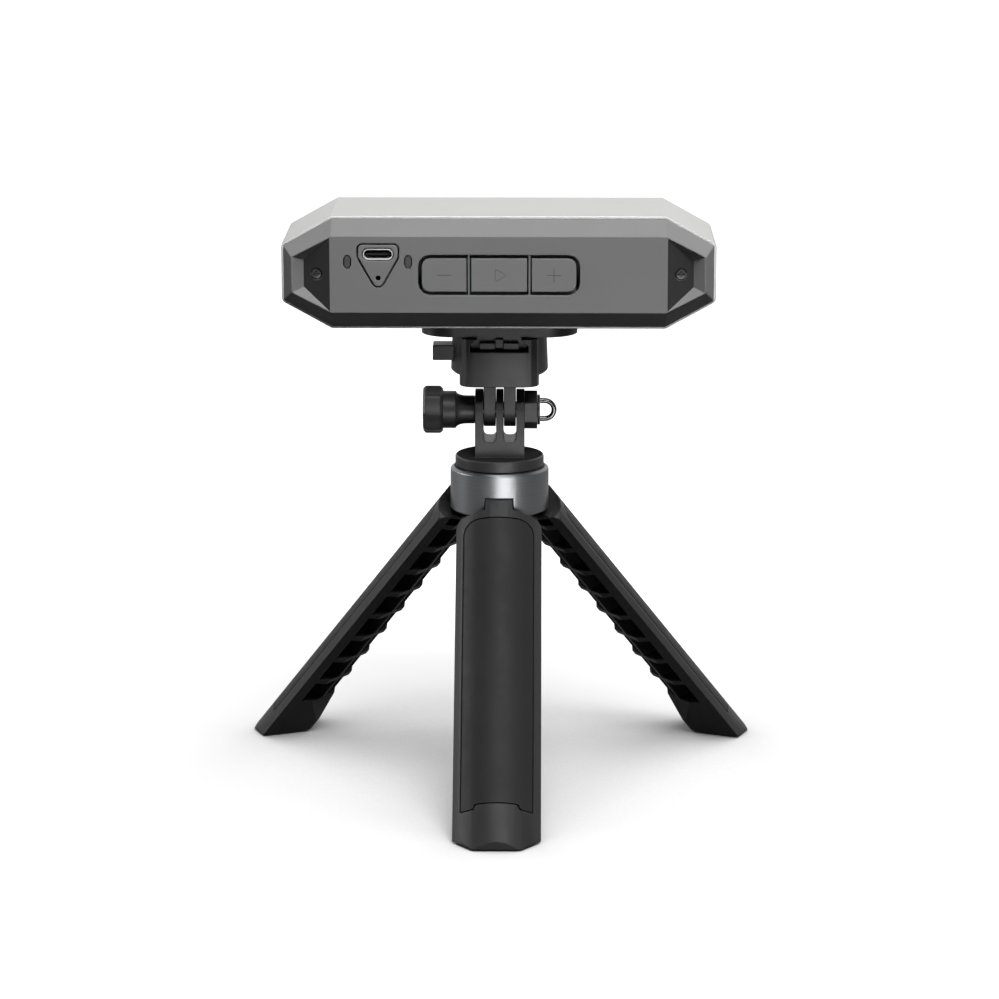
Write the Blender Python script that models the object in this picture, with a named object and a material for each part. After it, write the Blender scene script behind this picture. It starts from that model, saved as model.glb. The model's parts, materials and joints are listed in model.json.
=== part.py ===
"""A handheld three-d scanner on a folding mini tripod.

Metres, +Z up. The scanner looks along +Y, so its rear cover, with the port and the keys, faces -Y.
Every piece is modelled in the tripod's frame: the swivel axis is the Z axis and the floor is Z = 0.
The root empty then stands the whole part on the middle of its own footprint.
"""

import math

import bmesh
import bpy
from mathutils import Matrix, Vector

MM = 0.001
DEGREE = math.pi / 180.0

# Shared clearances and facet counts
GAP = 0.3 * MM  # between pieces that seat on each other or slide past each other
CLOSE_GAP = 0.1 * MM  # between flat faces that are clamped together
OVERRUN = 1.0 * MM  # how far a cutter runs past the face that it opens
FINE_STEPS = 36
ROUND_STEPS = 24
SMALL_STEPS = 14
CORNER_STEPS = 3
HEX_STEPS = 24
KNOB_STEPS = 32
MERGE_DISTANCE = 0.001 * MM
SHARP_ANGLE = 30.0 * DEGREE

# Leg: a third of a tube, hinged at the hub
LEG_RADIUS = 15.0 * MM
LEG_PIVOT_INSET = 4.5 * MM  # hinge axis to the folded leg's outside
LEG_PIVOT_RADIUS = LEG_RADIUS - LEG_PIVOT_INSET
LEG_SPREAD = 40.08 * DEGREE
LEG_SECTOR = 120.0 * DEGREE
LEG_AZIMUTHS = {"front": -90.0 * DEGREE, "left": 150.0 * DEGREE, "right": 30.0 * DEGREE}
LEG_WALL = 3.5 * MM
LEG_SPINE = 1.6 * MM
LEG_DEPTH = 11.0 * MM  # from the leg's outside to its ribs' inner ends
LEG_INNER_SETBACK = LEG_RADIUS - LEG_DEPTH
LEG_TOP_BLOCK = 3.4 * MM
LEG_SHOULDER = 3.0 * MM  # rounding of the leg's top at its sides
LEG_ARC_STEPS = 12
RIB_PITCH = 10.4 * MM
RIB_THICKNESS = 1.8 * MM
RIB_FIRST = 12.4 * MM  # first rib's top below the hinge, at the wall
RIB_SLOPE_SHARE = 0.32  # rise towards the head per length towards the leg's axis
POCKET_ARC_STEPS = 3

# Foot of the leg
HINGE_HEIGHT = 87.72 * MM  # hinge axis above the floor with the legs spread
LEG_LENGTH = HINGE_HEIGHT / math.cos(LEG_SPREAD)
FOOT_BLOCK_LENGTH = 21.6 * MM  # of the leg's end below the inner ramp's start
FOOT_BLOCK_TOP = LEG_LENGTH - FOOT_BLOCK_LENGTH
RIB_COUNT = math.ceil((FOOT_BLOCK_TOP - RIB_FIRST) / RIB_PITCH)
FOOT_RAMP = 7.3 * MM
FOOT_HEEL_SETBACK = 0.7 * MM
FOOT_TIP_OVERHANG = 3.3 * MM  # past the place where the leg's middle line meets the floor
FOOT_TIP_RADIUS = LEG_PIVOT_RADIUS + HINGE_HEIGHT * math.tan(LEG_SPREAD) + FOOT_TIP_OVERHANG
FOOT_TOE_WIDTH = 14.0 * MM  # of the toe's flat front
FOOT_TOE_LENGTH = 8.2 * MM  # from the toe's front to the end of its slanted sides
FOOT_SIDE_RADIUS = FOOT_TIP_RADIUS - FOOT_TOE_LENGTH
FOOT_SIDE_WIDTH = 26.4 * MM
SOLE_HEIGHT = 0.6 * MM
PAD_INSET = 1.5 * MM
PAD_THICKNESS = 1.2 * MM
PAD_HEEL_SETBACK = 3.0 * MM

# Inlay panel in the leg's outer face
INLAY_THICKNESS = 1.0 * MM
INLAY_TOP = 9.2 * MM  # below the hinge
INLAY_END = 10.7 * MM  # from the inlay's lower end to the leg's end
INLAY_BOTTOM = LEG_LENGTH - INLAY_END
INLAY_WIDTH = 21.4 * MM
INLAY_CORNER = 4.2 * MM
INLAY_NOTCH_WIDTH = 12.6 * MM
INLAY_NOTCH_HEIGHT = 1.5 * MM
INLAY_NOTCH_CORNER = 0.7 * MM

# Hinge tab, lug and pin
TAB_WIDTH = 8.2 * MM
LUG_RADIUS = 2.4 * MM
LUG_STEPS = 12
PIN_RADIUS = 0.9 * MM
PIN_LENGTH = 13.0 * MM
TAB_ROOT = 3.0 * MM  # how far the tab runs down into the leg

# Hub
RING_DROP = 5.72 * MM  # ring's underside below the hinge axis
RING_HEIGHT = 13.2 * MM
RING_WALL = 1.2 * MM
RING_CHAMFER_TOP = 0.7 * MM
RING_CHAMFER_BOTTOM = 0.3 * MM
NOTCH_RISE = 0.18 * MM  # notch's top above the hinge axis
CORE_RECESS = 0.4 * MM  # core's underside above the ring's
CORE_SLOT_ROOF = 0.5 * MM  # room over the lug
STUD_RADIUS = 3.17 * MM
STUD_HEAD_RADIUS = 4.7 * MM
STUD_HEAD_HEIGHT = 2.6 * MM
STUD_REACH = 4.6 * MM  # into the adapter

# Fork adapter
DISC_INSET = 1.5 * MM  # from the ring's outside
DISC_RADIUS = LEG_RADIUS - DISC_INSET
DISC_HEIGHT = 3.35 * MM
DISC_CHAMFER = 0.4 * MM
FORK_CENTRE_X = 0.1 * MM
FORK_WIDTH = 15.0 * MM
FORK_DEPTH = 12.8 * MM
FORK_AXIS_RISE = 13.65 * MM  # tilt axis above the disc
SLOT_WIDTH = 3.94 * MM
SLOT_SPACING = 6.1 * MM  # between the two slots' middles
SLOT_FLOOR_RISE = 4.7 * MM
SLOT_CORNER = 1.4 * MM
SCREW_RADIUS = 2.5 * MM
HEX_WIDTH = 11.9 * MM  # boss, across its corners
HEX_LENGTH = 3.9 * MM
NUT_FLATS = 8.0 * MM
NUT_THICKNESS = 3.4 * MM

# Clamp knob, screw, washer and wire ring
KNOB_RADIUS = 7.4 * MM
KNOB_LOBES = 8
KNOB_LOBE_DEPTH = 0.7 * MM
KNOB_HEAD = 6.05 * MM
KNOB_EDGE = 0.8 * MM
KNOB_COLLAR_RADIUS = 5.7 * MM
KNOB_COLLAR = 3.9 * MM
KNOB_NECK_RADIUS = 4.3 * MM
KNOB_NECK_CURVE = 3.4 * MM
KNOB_NECK = 2.4 * MM
KNOB_CURVE_STEPS = 5
SCREW_SEAT = 4.0 * MM  # solid head left over the screw's end
WASHER_RADIUS = 4.6 * MM
WASHER_THICKNESS = 0.65 * MM
WIRE_RADIUS = 0.9 * MM
WIRE_LOOP_RADIUS = 2.8 * MM
WIRE_LEG = 1.5 * MM
WIRE_STEPS = 9
WIRE_SIDES = 8

# Clamp that takes the plate's tongue
CLAMP_RISE = 9.05 * MM  # clamp's underside above the tilt axis
CLAMP_HEIGHT = 14.65 * MM
CLAMP_BLOCK_WIDTH = 24.0 * MM
CLAMP_BLOCK_FRONT = 12.0 * MM
CLAMP_BLOCK_CORNER = 4.4 * MM
CLAMP_ROUND_TOP_RADIUS = 14.3 * MM
CLAMP_ROUND_BOTTOM_RADIUS = 14.75 * MM
CLAMP_ROUND_RISE = 2.95 * MM
CLAMP_ROUND_EDGE = 0.9 * MM
CLAMP_ROUND_FLAT = 11.0 * MM
FINGER_SLACK = 0.15 * MM  # at each side of a finger in its slot
FINGER_RADIUS = 5.1 * MM
DOVETAIL_WIDTH = 17.0 * MM
DOVETAIL_TOP_WIDTH = 11.8 * MM
DOVETAIL_SIDE = 1.5 * MM
DOVETAIL_DEPTH = 3.9 * MM
TONGUE_FRONT = 8.0 * MM
TONGUE_BACK = 9.3 * MM
TONGUE_RIB_WIDTH = 2.3 * MM
TONGUE_RIB_RISE = 0.7 * MM
TONGUE_RIB_HEIGHT = 2.6 * MM
TONGUE_PAD_WIDTH = 4.6 * MM
TONGUE_PAD_SPACING = 7.15 * MM
TONGUE_PAD_RISE = 0.3 * MM
TONGUE_PAD_HEIGHT = 1.8 * MM
TONGUE_NOSE = 2.0 * MM

# Release button, its tooth and its spring
BUTTON_WIDTH = 8.0 * MM
BUTTON_BOTTOM_RISE = 6.85 * MM
BUTTON_HEIGHT = 4.6 * MM
BUTTON_PROUD = 5.9 * MM
BUTTON_INSIDE = 1.5 * MM
BUTTON_TRAVEL = 2.0 * MM
BAR_WIDTH = 4.4 * MM
BAR_HEIGHT = 3.0 * MM
BAR_END_X = 3.3 * MM
TOOTH_X = 7.4 * MM  # tooth's outer face left of the middle
TOOTH_LENGTH = 2.0 * MM
TOOTH_WIDTH = 3.0 * MM
TOOTH_BITE = 1.3 * MM  # into the tongue
SPRING_RADIUS = 0.75 * MM
SPRING_WIRE = 0.18 * MM
SPRING_TURNS = 4
SPRING_LENGTH = 4.4 * MM
SPRING_STEPS = 8
SPRING_SIDES = 4
SPRING_BORE = 1.15 * MM

# Mounting plate and its screw
PLATE_LENGTH = 47.2 * MM
PLATE_WIDTH = 20.0 * MM
PLATE_THICKNESS = 4.5 * MM
PLATE_END_STEPS = 14
PLATE_SCREW_RADIUS = 3.17 * MM
PLATE_SCREW_HEAD_RADIUS = 5.0 * MM
PLATE_SCREW_HEAD = 2.5 * MM
PLATE_SCREW_REACH = 7.7 * MM  # into the scanner
INSERT_RADIUS = 4.0 * MM
INSERT_LENGTH = 9.6 * MM
INSERT_BOSS_WALL = 1.7 * MM
INSERT_BOSS_ROOF = 0.7 * MM

# Scanner shell: an octagon seen from behind
SHELL_WIDTH = 128.8 * MM
SHELL_HEIGHT = 33.7 * MM
SHELL_CUT_X = 14.8 * MM
SHELL_CUT_Z = 8.2 * MM
SHELL_REAR = 21.8 * MM
SHELL_FRONT = 19.2 * MM
SHELL_WALL = 1.8 * MM
SHELL_FRONT_WALL = 2.0 * MM
SHELL_EDGE = 1.0 * MM
SHELL_CORNER = 1.6 * MM
SHELL_CORNER_STEPS = 3

# Rear cover
COVER_INSET = 0.7 * MM
COVER_PROUD = 4.6 * MM
COVER_FACE_INSET_X = 2.5 * MM
COVER_FACE_INSET_Z = 4.8 * MM
COVER_FACE_CUT_X = 11.7 * MM
COVER_FACE_CUT_Z = 6.05 * MM
COVER_FACE_WALL = 2.4 * MM
COVER_HOLLOW_END = 16.9 * MM  # from the shell's end
COVER_HOLLOW_WIDTH = SHELL_WIDTH - 2 * COVER_HOLLOW_END
COVER_HOLLOW_HEIGHT = 23.0 * MM
COVER_LIP = 2.0 * MM
COVER_LIP_WALL = 1.2 * MM
COVER_CORNER = 0.5 * MM
POCKET_LAND = 0.4 * MM
POCKET_DEPTH = 3.0 * MM
POCKET_NEAR_DEPTH = 0.1 * MM
POCKET_FLOOR_SETBACK = 3.5 * MM
POCKET_FLOOR_HEIGHT = 8.0 * MM
COVER_SCREW_END = 10.5 * MM  # from the shell's end
COVER_SCREW_X = SHELL_WIDTH / 2 - COVER_SCREW_END
COVER_SCREW_HEAD_RADIUS = 1.55 * MM
COVER_SCREW_HEAD = 0.9 * MM
COVER_SCREW_RADIUS = 0.9 * MM
COVER_SCREW_LENGTH = 11.0 * MM
COVER_SCREW_SINK = 0.15 * MM

# Port insert, socket and light pipes
PORT_END = 28.8 * MM  # from the shell's left end
PORT_X = PORT_END - SHELL_WIDTH / 2
PORT_WIDTH = 12.7 * MM
PORT_TOP_RISE = 9.35 * MM  # above the cover's middle
PORT_SIDE = 4.3 * MM
PORT_DROP = 15.5 * MM  # from the top to where the sides would meet
PORT_CORNER = 1.7 * MM
PORT_TIP_CORNER = 2.1 * MM
PORT_GROOVE = 0.5 * MM
PORT_FLANGE = 1.0 * MM
PORT_FLANGE_THICKNESS = 0.8 * MM
PINHOLE_RADIUS = 0.75 * MM
PINHOLE_DROP = 1.05 * MM
SOCKET_WIDTH = 8.94 * MM
SOCKET_HEIGHT = 3.26 * MM
SOCKET_WALL = 0.3 * MM
SOCKET_RISE = 6.05 * MM
SOCKET_SINK = 0.2 * MM
SOCKET_BACK_WALL = 1.4 * MM
TONGUE_WIDTH = 6.69 * MM
TONGUE_THICKNESS = 0.7 * MM
TONGUE_SINK = 0.8 * MM
PIPE_SPACING = 17.97 * MM
PIPE_SHIFT = 0.08 * MM  # of the pipes' middle, left of the port's
PIPE_MIDDLE_X = PORT_X - PIPE_SHIFT
PIPE_WIDTH = 1.75 * MM
PIPE_HEIGHT = 3.7 * MM
PIPE_RISE = 3.8 * MM
PIPE_SINK = 0.1 * MM
PIPE_FOOT = 1.6 * MM
PIPE_FOOT_EDGE = 0.6 * MM

# Keys
KEYS_CENTRE_X = 0.15 * MM
KEYS_DROP = 0.1 * MM
KEYS_END = 41.6 * MM  # from the shell's end
KEYS_WIDTH = SHELL_WIDTH - 2 * KEYS_END
KEYS_HEIGHT = 9.9 * MM
KEYS_GROOVE = 1.1 * MM
KEYS_CORNER = 3.4 * MM
KEY_DIVIDER = 1.4 * MM
PLAY_KEY_SHARE = 0.362  # of the row of keys
PLAY_KEY_WIDTH = PLAY_KEY_SHARE * KEYS_WIDTH
KEY_SINK = 0.1 * MM
KEY_TRAVEL = 0.6 * MM
KEY_FLANGE = 1.9 * MM
KEY_FLANGE_THICKNESS = 0.8 * MM
KEY_STEM_RADIUS = 1.5 * MM
KEY_SLACK = 0.1 * MM
SWITCH_SIZE = 5.0 * MM
SWITCH_BODY = 2.1 * MM
SWITCH_PLUNGER = 0.7 * MM
SWITCH_PLUNGER_RADIUS = 1.2 * MM

# Main board, optical bench and optics
BOARD_Y = -17.6 * MM  # rear face
BOARD_THICKNESS = 1.6 * MM
BOARD_MARGIN = 1.5 * MM  # to the shell's wall
SHIELD_WIDTH = 30.0 * MM
SHIELD_HEIGHT = 16.0 * MM
SHIELD_DEPTH = 2.0 * MM
BENCH_Y = 8.0 * MM  # rear face
BENCH_THICKNESS = 2.5 * MM
POST_RADIUS = 3.0 * MM
WINDOW_END = 10.4 * MM  # from the shell's end
WINDOW_WIDTH = SHELL_WIDTH - 2 * WINDOW_END
WINDOW_HEIGHT = 22.0 * MM
WINDOW_CORNER = 7.0 * MM
WINDOW_THICKNESS = 0.8 * MM
WINDOW_SINK = 0.2 * MM
WINDOW_LEDGE = 1.5 * MM
CAMERA_END = 20.4 * MM  # from the shell's end
CAMERA_SPACING = SHELL_WIDTH - 2 * CAMERA_END
CAMERA_RADIUS = 5.2 * MM
PROJECTOR_X = -9.0 * MM
PROJECTOR_RADIUS = 5.8 * MM
COLOUR_X = 11.0 * MM
COLOUR_RADIUS = 4.2 * MM
BARREL_BACK = 5.0 * MM  # behind the bench
BARREL_FLANGE = 1.0 * MM
BARREL_FLANGE_THICKNESS = 1.5 * MM
BARREL_WALL = 0.9 * MM
BARREL_MOUTH = 2.2 * MM
LENS_THICKNESS = 0.9 * MM
LENS_DOME = 0.6 * MM
LAMP_SHARE = 0.435  # of the shell's width between the lamps
LAMP_SPACING = LAMP_SHARE * SHELL_WIDTH
LAMP_RADIUS = 2.8 * MM
LAMP_DOME = 1.0 * MM
DOME_STEPS = 3

# Levels, from the floor up
RING_BOTTOM = HINGE_HEIGHT - RING_DROP
RING_TOP = RING_BOTTOM + RING_HEIGHT
DISC_BOTTOM = RING_TOP + GAP
DISC_TOP = DISC_BOTTOM + DISC_HEIGHT
TILT_HEIGHT = DISC_TOP + FORK_AXIS_RISE
CLAMP_BOTTOM = TILT_HEIGHT + CLAMP_RISE
CLAMP_TOP = CLAMP_BOTTOM + CLAMP_HEIGHT
SLOT_FLOOR = CLAMP_TOP - DOVETAIL_DEPTH
TONGUE_BOTTOM = SLOT_FLOOR + GAP
PLATE_BOTTOM = CLAMP_TOP + GAP
PLATE_TOP = PLATE_BOTTOM + PLATE_THICKNESS
SHELL_BOTTOM = PLATE_TOP + GAP
SHELL_MIDDLE = SHELL_BOTTOM + SHELL_HEIGHT / 2
BUTTON_BOTTOM = CLAMP_BOTTOM + BUTTON_BOTTOM_RISE
BAR_TOP = BUTTON_BOTTOM + BAR_HEIGHT

# Places along Y in the scanner, from the rear
COVER_BACK = -SHELL_REAR - GAP  # where the cover meets the shell's rim, just outside it
COVER_FACE = -SHELL_REAR - COVER_PROUD
COVER_INNER = COVER_FACE + COVER_FACE_WALL
BOARD_FRONT = BOARD_Y + BOARD_THICKNESS
BENCH_FRONT = BENCH_Y + BENCH_THICKNESS
WINDOW_FACE = SHELL_FRONT - WINDOW_SINK
SWITCH_TIP = BOARD_Y - GAP - SWITCH_BODY - SWITCH_PLUNGER

# Places along X on the tilt axis
FORK_LEFT = FORK_CENTRE_X - FORK_WIDTH / 2
FORK_RIGHT = FORK_CENTRE_X + FORK_WIDTH / 2
HEX_END = FORK_RIGHT + HEX_LENGTH
KNOB_INNER_END = FORK_LEFT - CLOSE_GAP
KNOB_COLLAR_END = KNOB_INNER_END - KNOB_NECK - KNOB_NECK_CURVE
KNOB_HEAD_END = KNOB_COLLAR_END - KNOB_COLLAR
KNOB_OUTER_END = KNOB_HEAD_END - KNOB_HEAD
WASHER_X = HEX_END + CLOSE_GAP
WIRE_X = WASHER_X + WASHER_THICKNESS + CLOSE_GAP

SWIVEL = Vector((0.0, 0.0, 0.0))
HINGE = Vector((0.0, 0.0, 0.0))  # the legs are modelled about it
TILT_POINT = Vector((0.0, 0.0, TILT_HEIGHT))

FINISHES = {
    "shell_silver": ((0.62, 0.62, 0.61), 0.42, 0.0),
    "cover_grey": ((0.17, 0.17, 0.175), 0.5, 0.0),
    "key_grey": ((0.13, 0.13, 0.135), 0.55, 0.0),
    "black_plastic": ((0.03, 0.03, 0.032), 0.5, 0.0),
    "leg_black": ((0.045, 0.045, 0.047), 0.55, 0.0),
    "inlay_rubber": ((0.06, 0.06, 0.062), 0.7, 0.0),
    "pad_rubber": ((0.12, 0.12, 0.12), 0.85, 0.0),
    "gunmetal": ((0.30, 0.31, 0.32), 0.28, 1.0),
    "steel": ((0.55, 0.55, 0.56), 0.3, 1.0),
    "dark_steel": ((0.16, 0.16, 0.17), 0.25, 1.0),
    "brass": ((0.72, 0.55, 0.26), 0.35, 1.0),
    "aluminium": ((0.6, 0.61, 0.62), 0.4, 1.0),
    "board_green": ((0.02, 0.16, 0.08), 0.5, 0.0),
    "lens_glass": ((0.05, 0.06, 0.09), 0.05, 0.0),
    "window_black": ((0.01, 0.01, 0.012), 0.08, 0.0),
    "lamp_white": ((0.85, 0.85, 0.8), 0.3, 0.0),
    "pipe_smoke": ((0.05, 0.05, 0.05), 0.25, 0.0),
    "tongue_black": ((0.012, 0.012, 0.012), 0.5, 0.0),
}


# Outlines

def rectangle(width, height, centre=(0.0, 0.0)):
    """Four corners, counter-clockwise."""
    a, b = width / 2, height / 2
    return [(centre[0] + sx * a, centre[1] + sz * b) for sx, sz in ((-1, -1), (1, -1), (1, 1), (-1, 1))]


def box_outline(left, right, low, high):
    """A rectangle from its four sides."""
    return [(left, low), (right, low), (right, high), (left, high)]


def octagon(width, height, cut_x, cut_z, centre=(0.0, 0.0)):
    """A rectangle with its four corners cut off, counter-clockwise."""
    a, b = width / 2, height / 2
    quarter = [(a, b - cut_z), (a - cut_x, b)]
    points = quarter + [(-x, z) for x, z in reversed(quarter)]
    points += [(-x, -z) for x, z in quarter] + [(x, -z) for x, z in reversed(quarter)]
    return [(centre[0] + x, centre[1] + z) for x, z in points]


def stadium(width, height, steps, centre=(0.0, 0.0)):
    """A straight bar with half-round ends, lying along its first axis."""
    radius = height / 2
    reach = width / 2 - radius
    points = []
    for side in (1, -1):
        for k in range(steps + 1):
            turn = math.pi * k / steps - math.pi / 2
            points.append((side * (reach + radius * math.cos(turn)), side * radius * math.sin(turn)))
    return [(centre[0] + x, centre[1] + z) for x, z in points]


def inset(points, distance):
    """The outline with every side moved inwards; a negative distance moves it outwards."""
    moved = []
    count = len(points)
    for k in range(count):
        before, here, after = (Vector(points[(k + d) % count]) for d in (-1, 0, 1))
        first, second = (here - before).normalized(), (after - here).normalized()
        left_first, left_second = Vector((-first.y, first.x)), Vector((-second.y, second.x))
        middle = (left_first + left_second).normalized()
        moved.append(tuple(here + middle * (distance / middle.dot(left_first))))
    return moved


def rounded(points, radius, steps):
    """The outline with each corner turned into an arc; radius is one value or one for each corner."""
    result = []
    count = len(points)
    for k in range(count):
        size = radius[k] if isinstance(radius, (list, tuple)) else radius
        before, here, after = (Vector(points[(k + d) % count]) for d in (-1, 0, 1))
        back, ahead = (before - here).normalized(), (after - here).normalized()
        half = back.angle(ahead) / 2
        if size <= 0.0:
            result.append(tuple(here))
            continue
        inward = (back + ahead).normalized()
        centre = here + inward * (size / math.sin(half))
        start = here + back * (size / math.tan(half)) - centre
        end = here + ahead * (size / math.tan(half)) - centre
        sweep = start.angle_signed(end)
        for step in range(steps + 1):
            turn = -sweep * step / steps
            cosine, sine = math.cos(turn), math.sin(turn)
            spoke = Vector((start.x * cosine - start.y * sine, start.x * sine + start.y * cosine))
            result.append(tuple(centre + spoke))
    return result


def lift(outline, plane, level):
    """Puts a flat outline into space on the named plane."""
    if plane == "XY":
        return [Vector((a, b, level)) for a, b in outline]
    if plane == "XZ":
        return [Vector((a, level, b)) for a, b in outline]
    return [Vector((level, a, b)) for a, b in outline]


# Solids

def add_skin(shape, rings, closed=False):
    """Adds faces between neighbouring rings; a ring of one point is a tip, and open ends get a cap."""
    loops = [[shape.verts.new(point) for point in ring] for ring in rings]
    pairs = list(zip(loops, loops[1:]))
    if closed:
        pairs.append((loops[-1], loops[0]))
    for low, high in pairs:
        count = max(len(low), len(high))
        for k in range(count):
            ahead = (k + 1) % count
            corners = [low[k % len(low)], low[ahead % len(low)], high[ahead % len(high)], high[k % len(high)]]
            face = list(dict.fromkeys(corners))
            if len(face) > 2:
                shape.faces.new(face)
    if not closed:
        for end in (loops[0], loops[-1]):
            if len(end) > 2:
                shape.faces.new(end)


def solid(name, skins):
    """An object from one or more skins, each a (rings, closed) pair, with its faces pointing out."""
    shape = bmesh.new()
    for rings, closed in skins:
        add_skin(shape, rings, closed)
    bmesh.ops.recalc_face_normals(shape, faces=shape.faces)
    mesh = bpy.data.meshes.new(name)
    shape.to_mesh(mesh)
    shape.free()
    made = bpy.data.objects.new(name, mesh)
    bpy.context.scene.collection.objects.link(made)
    return made


def prism(name, outline, plane, low, high):
    """The outline pushed straight from one level to another."""
    return solid(name, [([lift(outline, plane, low), lift(outline, plane, high)], False)])


def box(name, low, high):
    """A box from its two far corners."""
    return prism(name, box_outline(low[0], high[0], low[1], high[1]), "XY", low[2], high[2])


def around(axis, centre, along, first, second):
    """A point beside an axis through the centre."""
    if axis == "X":
        return Vector((along, centre[1] + first, centre[2] + second))
    if axis == "Y":
        return Vector((centre[0] + first, along, centre[2] + second))
    return Vector((centre[0] + first, centre[1] + second, along))


def turned_rings(profile, axis, centre, count):
    """Rings for a turned profile of (place along the axis, radius or radius by angle)."""
    rings = []
    for along, radius in profile:
        if radius == 0.0:
            rings.append([around(axis, centre, along, 0.0, 0.0)])
            continue
        ring = []
        for k in range(count):
            turn = 2 * math.pi * k / count
            reach = radius(turn) if callable(radius) else radius
            ring.append(around(axis, centre, along, reach * math.cos(turn), reach * math.sin(turn)))
        rings.append(ring)
    return rings


def turned(name, profile, axis, centre, count, closed=False):
    """A turned solid; a closed profile stays off the axis and leaves a bore."""
    return solid(name, [(turned_rings(profile, axis, centre, count), closed)])


def cylinder(name, radius, axis, centre, low, high, count):
    """A plain round bar between two places on its axis."""
    return turned(name, [(low, radius), (high, radius)], axis, centre, count)


def tube(name, outer, inner, axis, centre, low, high, count):
    """A round bar with a round bore."""
    return turned(name, [(low, inner), (low, outer), (high, outer), (high, inner)], axis, centre, count, True)


def shaped(target, tool, operation):
    """Cuts, joins or trims the target with the tool, which is used up."""
    step = target.modifiers.new("shape", "BOOLEAN")
    step.operation = operation
    step.solver = "EXACT"
    step.object = tool
    depsgraph = bpy.context.evaluated_depsgraph_get()
    result = bpy.data.meshes.new_from_object(target.evaluated_get(depsgraph))
    target.modifiers.clear()
    old, spent = target.data, tool.data
    target.data = result
    bpy.data.objects.remove(tool)
    bpy.data.meshes.remove(old)
    bpy.data.meshes.remove(spent)
    return target


def cut(target, *tools):
    """The target less each tool."""
    for tool in tools:
        shaped(target, tool, "DIFFERENCE")
    return target


def join(target, *tools):
    """The target with each tool added."""
    for tool in tools:
        shaped(target, tool, "UNION")
    return target


def trim(target, tool):
    """What the target and the tool share."""
    return shaped(target, tool, "INTERSECT")


def tidy(target):
    """Merges stray points that cuts leave and shades round faces smooth."""
    shape = bmesh.new()
    shape.from_mesh(target.data)
    bmesh.ops.remove_doubles(shape, verts=shape.verts, dist=MERGE_DISTANCE)
    bmesh.ops.dissolve_degenerate(shape, edges=shape.edges, dist=MERGE_DISTANCE)
    shape.to_mesh(target.data)
    shape.free()
    target.data.shade_smooth()
    target.data.set_sharp_from_angle(angle=SHARP_ANGLE)
    return target


# Assembly helpers

FRAMES = {}


def finish(slot):
    """The named material, made once."""
    if slot in bpy.data.materials:
        return bpy.data.materials[slot]
    colour, roughness, metallic = FINISHES[slot]
    material = bpy.data.materials.new(slot)
    material.use_nodes = True
    shader = material.node_tree.nodes["Principled BSDF"]
    shader.inputs["Base Color"].default_value = (*colour, 1.0)
    shader.inputs["Roughness"].default_value = roughness
    shader.inputs["Metallic"].default_value = metallic
    material.diffuse_color = (*colour, 1.0)
    return material


def pivot(name, parent, place, azimuth=0.0):
    """An empty on a joint's axis, turned about Z by its azimuth."""
    empty = bpy.data.objects.new(name, None)
    empty.empty_display_size = LEG_RADIUS
    bpy.context.scene.collection.objects.link(empty)
    frame = Matrix.Translation(place) @ Matrix.Rotation(azimuth, 4, "Z")
    FRAMES[name] = frame
    if parent:
        empty.parent = parent
        empty.matrix_local = FRAMES[parent.name].inverted() @ frame
    return empty


def seat(target, carrier, slot, local=False):
    """Parents a finished piece to its body's empty and gives it its material."""
    tidy(target)
    if not local:
        target.data.transform(FRAMES[carrier.name].inverted())
    target.parent = carrier
    target.data.materials.clear()
    target.data.materials.append(finish(slot))
    return target


# Scanner

def shell_outline(inwards):
    """The scanner's octagon, moved inwards, with rounded corners."""
    points = octagon(SHELL_WIDTH, SHELL_HEIGHT, SHELL_CUT_X, SHELL_CUT_Z, (0.0, SHELL_MIDDLE))
    return rounded(inset(points, inwards), SHELL_CORNER, SHELL_CORNER_STEPS)


def window_outline(inwards):
    """The front window's outline."""
    points = rectangle(WINDOW_WIDTH, WINDOW_HEIGHT, (0.0, SHELL_MIDDLE))
    return rounded(inset(points, inwards), WINDOW_CORNER - inwards, CORNER_STEPS)


def front_shell(head):
    """A deep cup, open at the rear, with a ledge for the window and a boss for the threaded insert."""
    cavity = shell_outline(SHELL_WALL)
    outside = shell_outline(0.0)
    rings = [
        lift(cavity, "XZ", SHELL_FRONT - SHELL_FRONT_WALL),
        lift(cavity, "XZ", -SHELL_REAR),
        lift(outside, "XZ", -SHELL_REAR),
        lift(outside, "XZ", SHELL_FRONT - SHELL_EDGE),
        lift(shell_outline(SHELL_EDGE), "XZ", SHELL_FRONT),
    ]
    shell = solid("front_shell", [(rings, False)])
    boss = INSERT_RADIUS + GAP + INSERT_BOSS_WALL
    boss_low = SHELL_BOTTOM + SHELL_WALL / 2
    bore_top = SHELL_BOTTOM + INSERT_LENGTH + GAP
    join(shell, cylinder("boss", boss, "Z", SWIVEL, boss_low, bore_top + INSERT_BOSS_ROOF, ROUND_STEPS))
    ledge = WINDOW_FACE - WINDOW_THICKNESS - GAP
    cut(
        shell,
        cylinder("bore", INSERT_RADIUS + GAP, "Z", SWIVEL, SHELL_BOTTOM - OVERRUN, bore_top, SMALL_STEPS),
        prism("ledge", window_outline(0.0), "XZ", ledge, SHELL_FRONT + OVERRUN),
        prism("opening", window_outline(WINDOW_LEDGE), "XZ", BENCH_FRONT, SHELL_FRONT),
    )
    seat(shell, head, "shell_silver")


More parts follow.
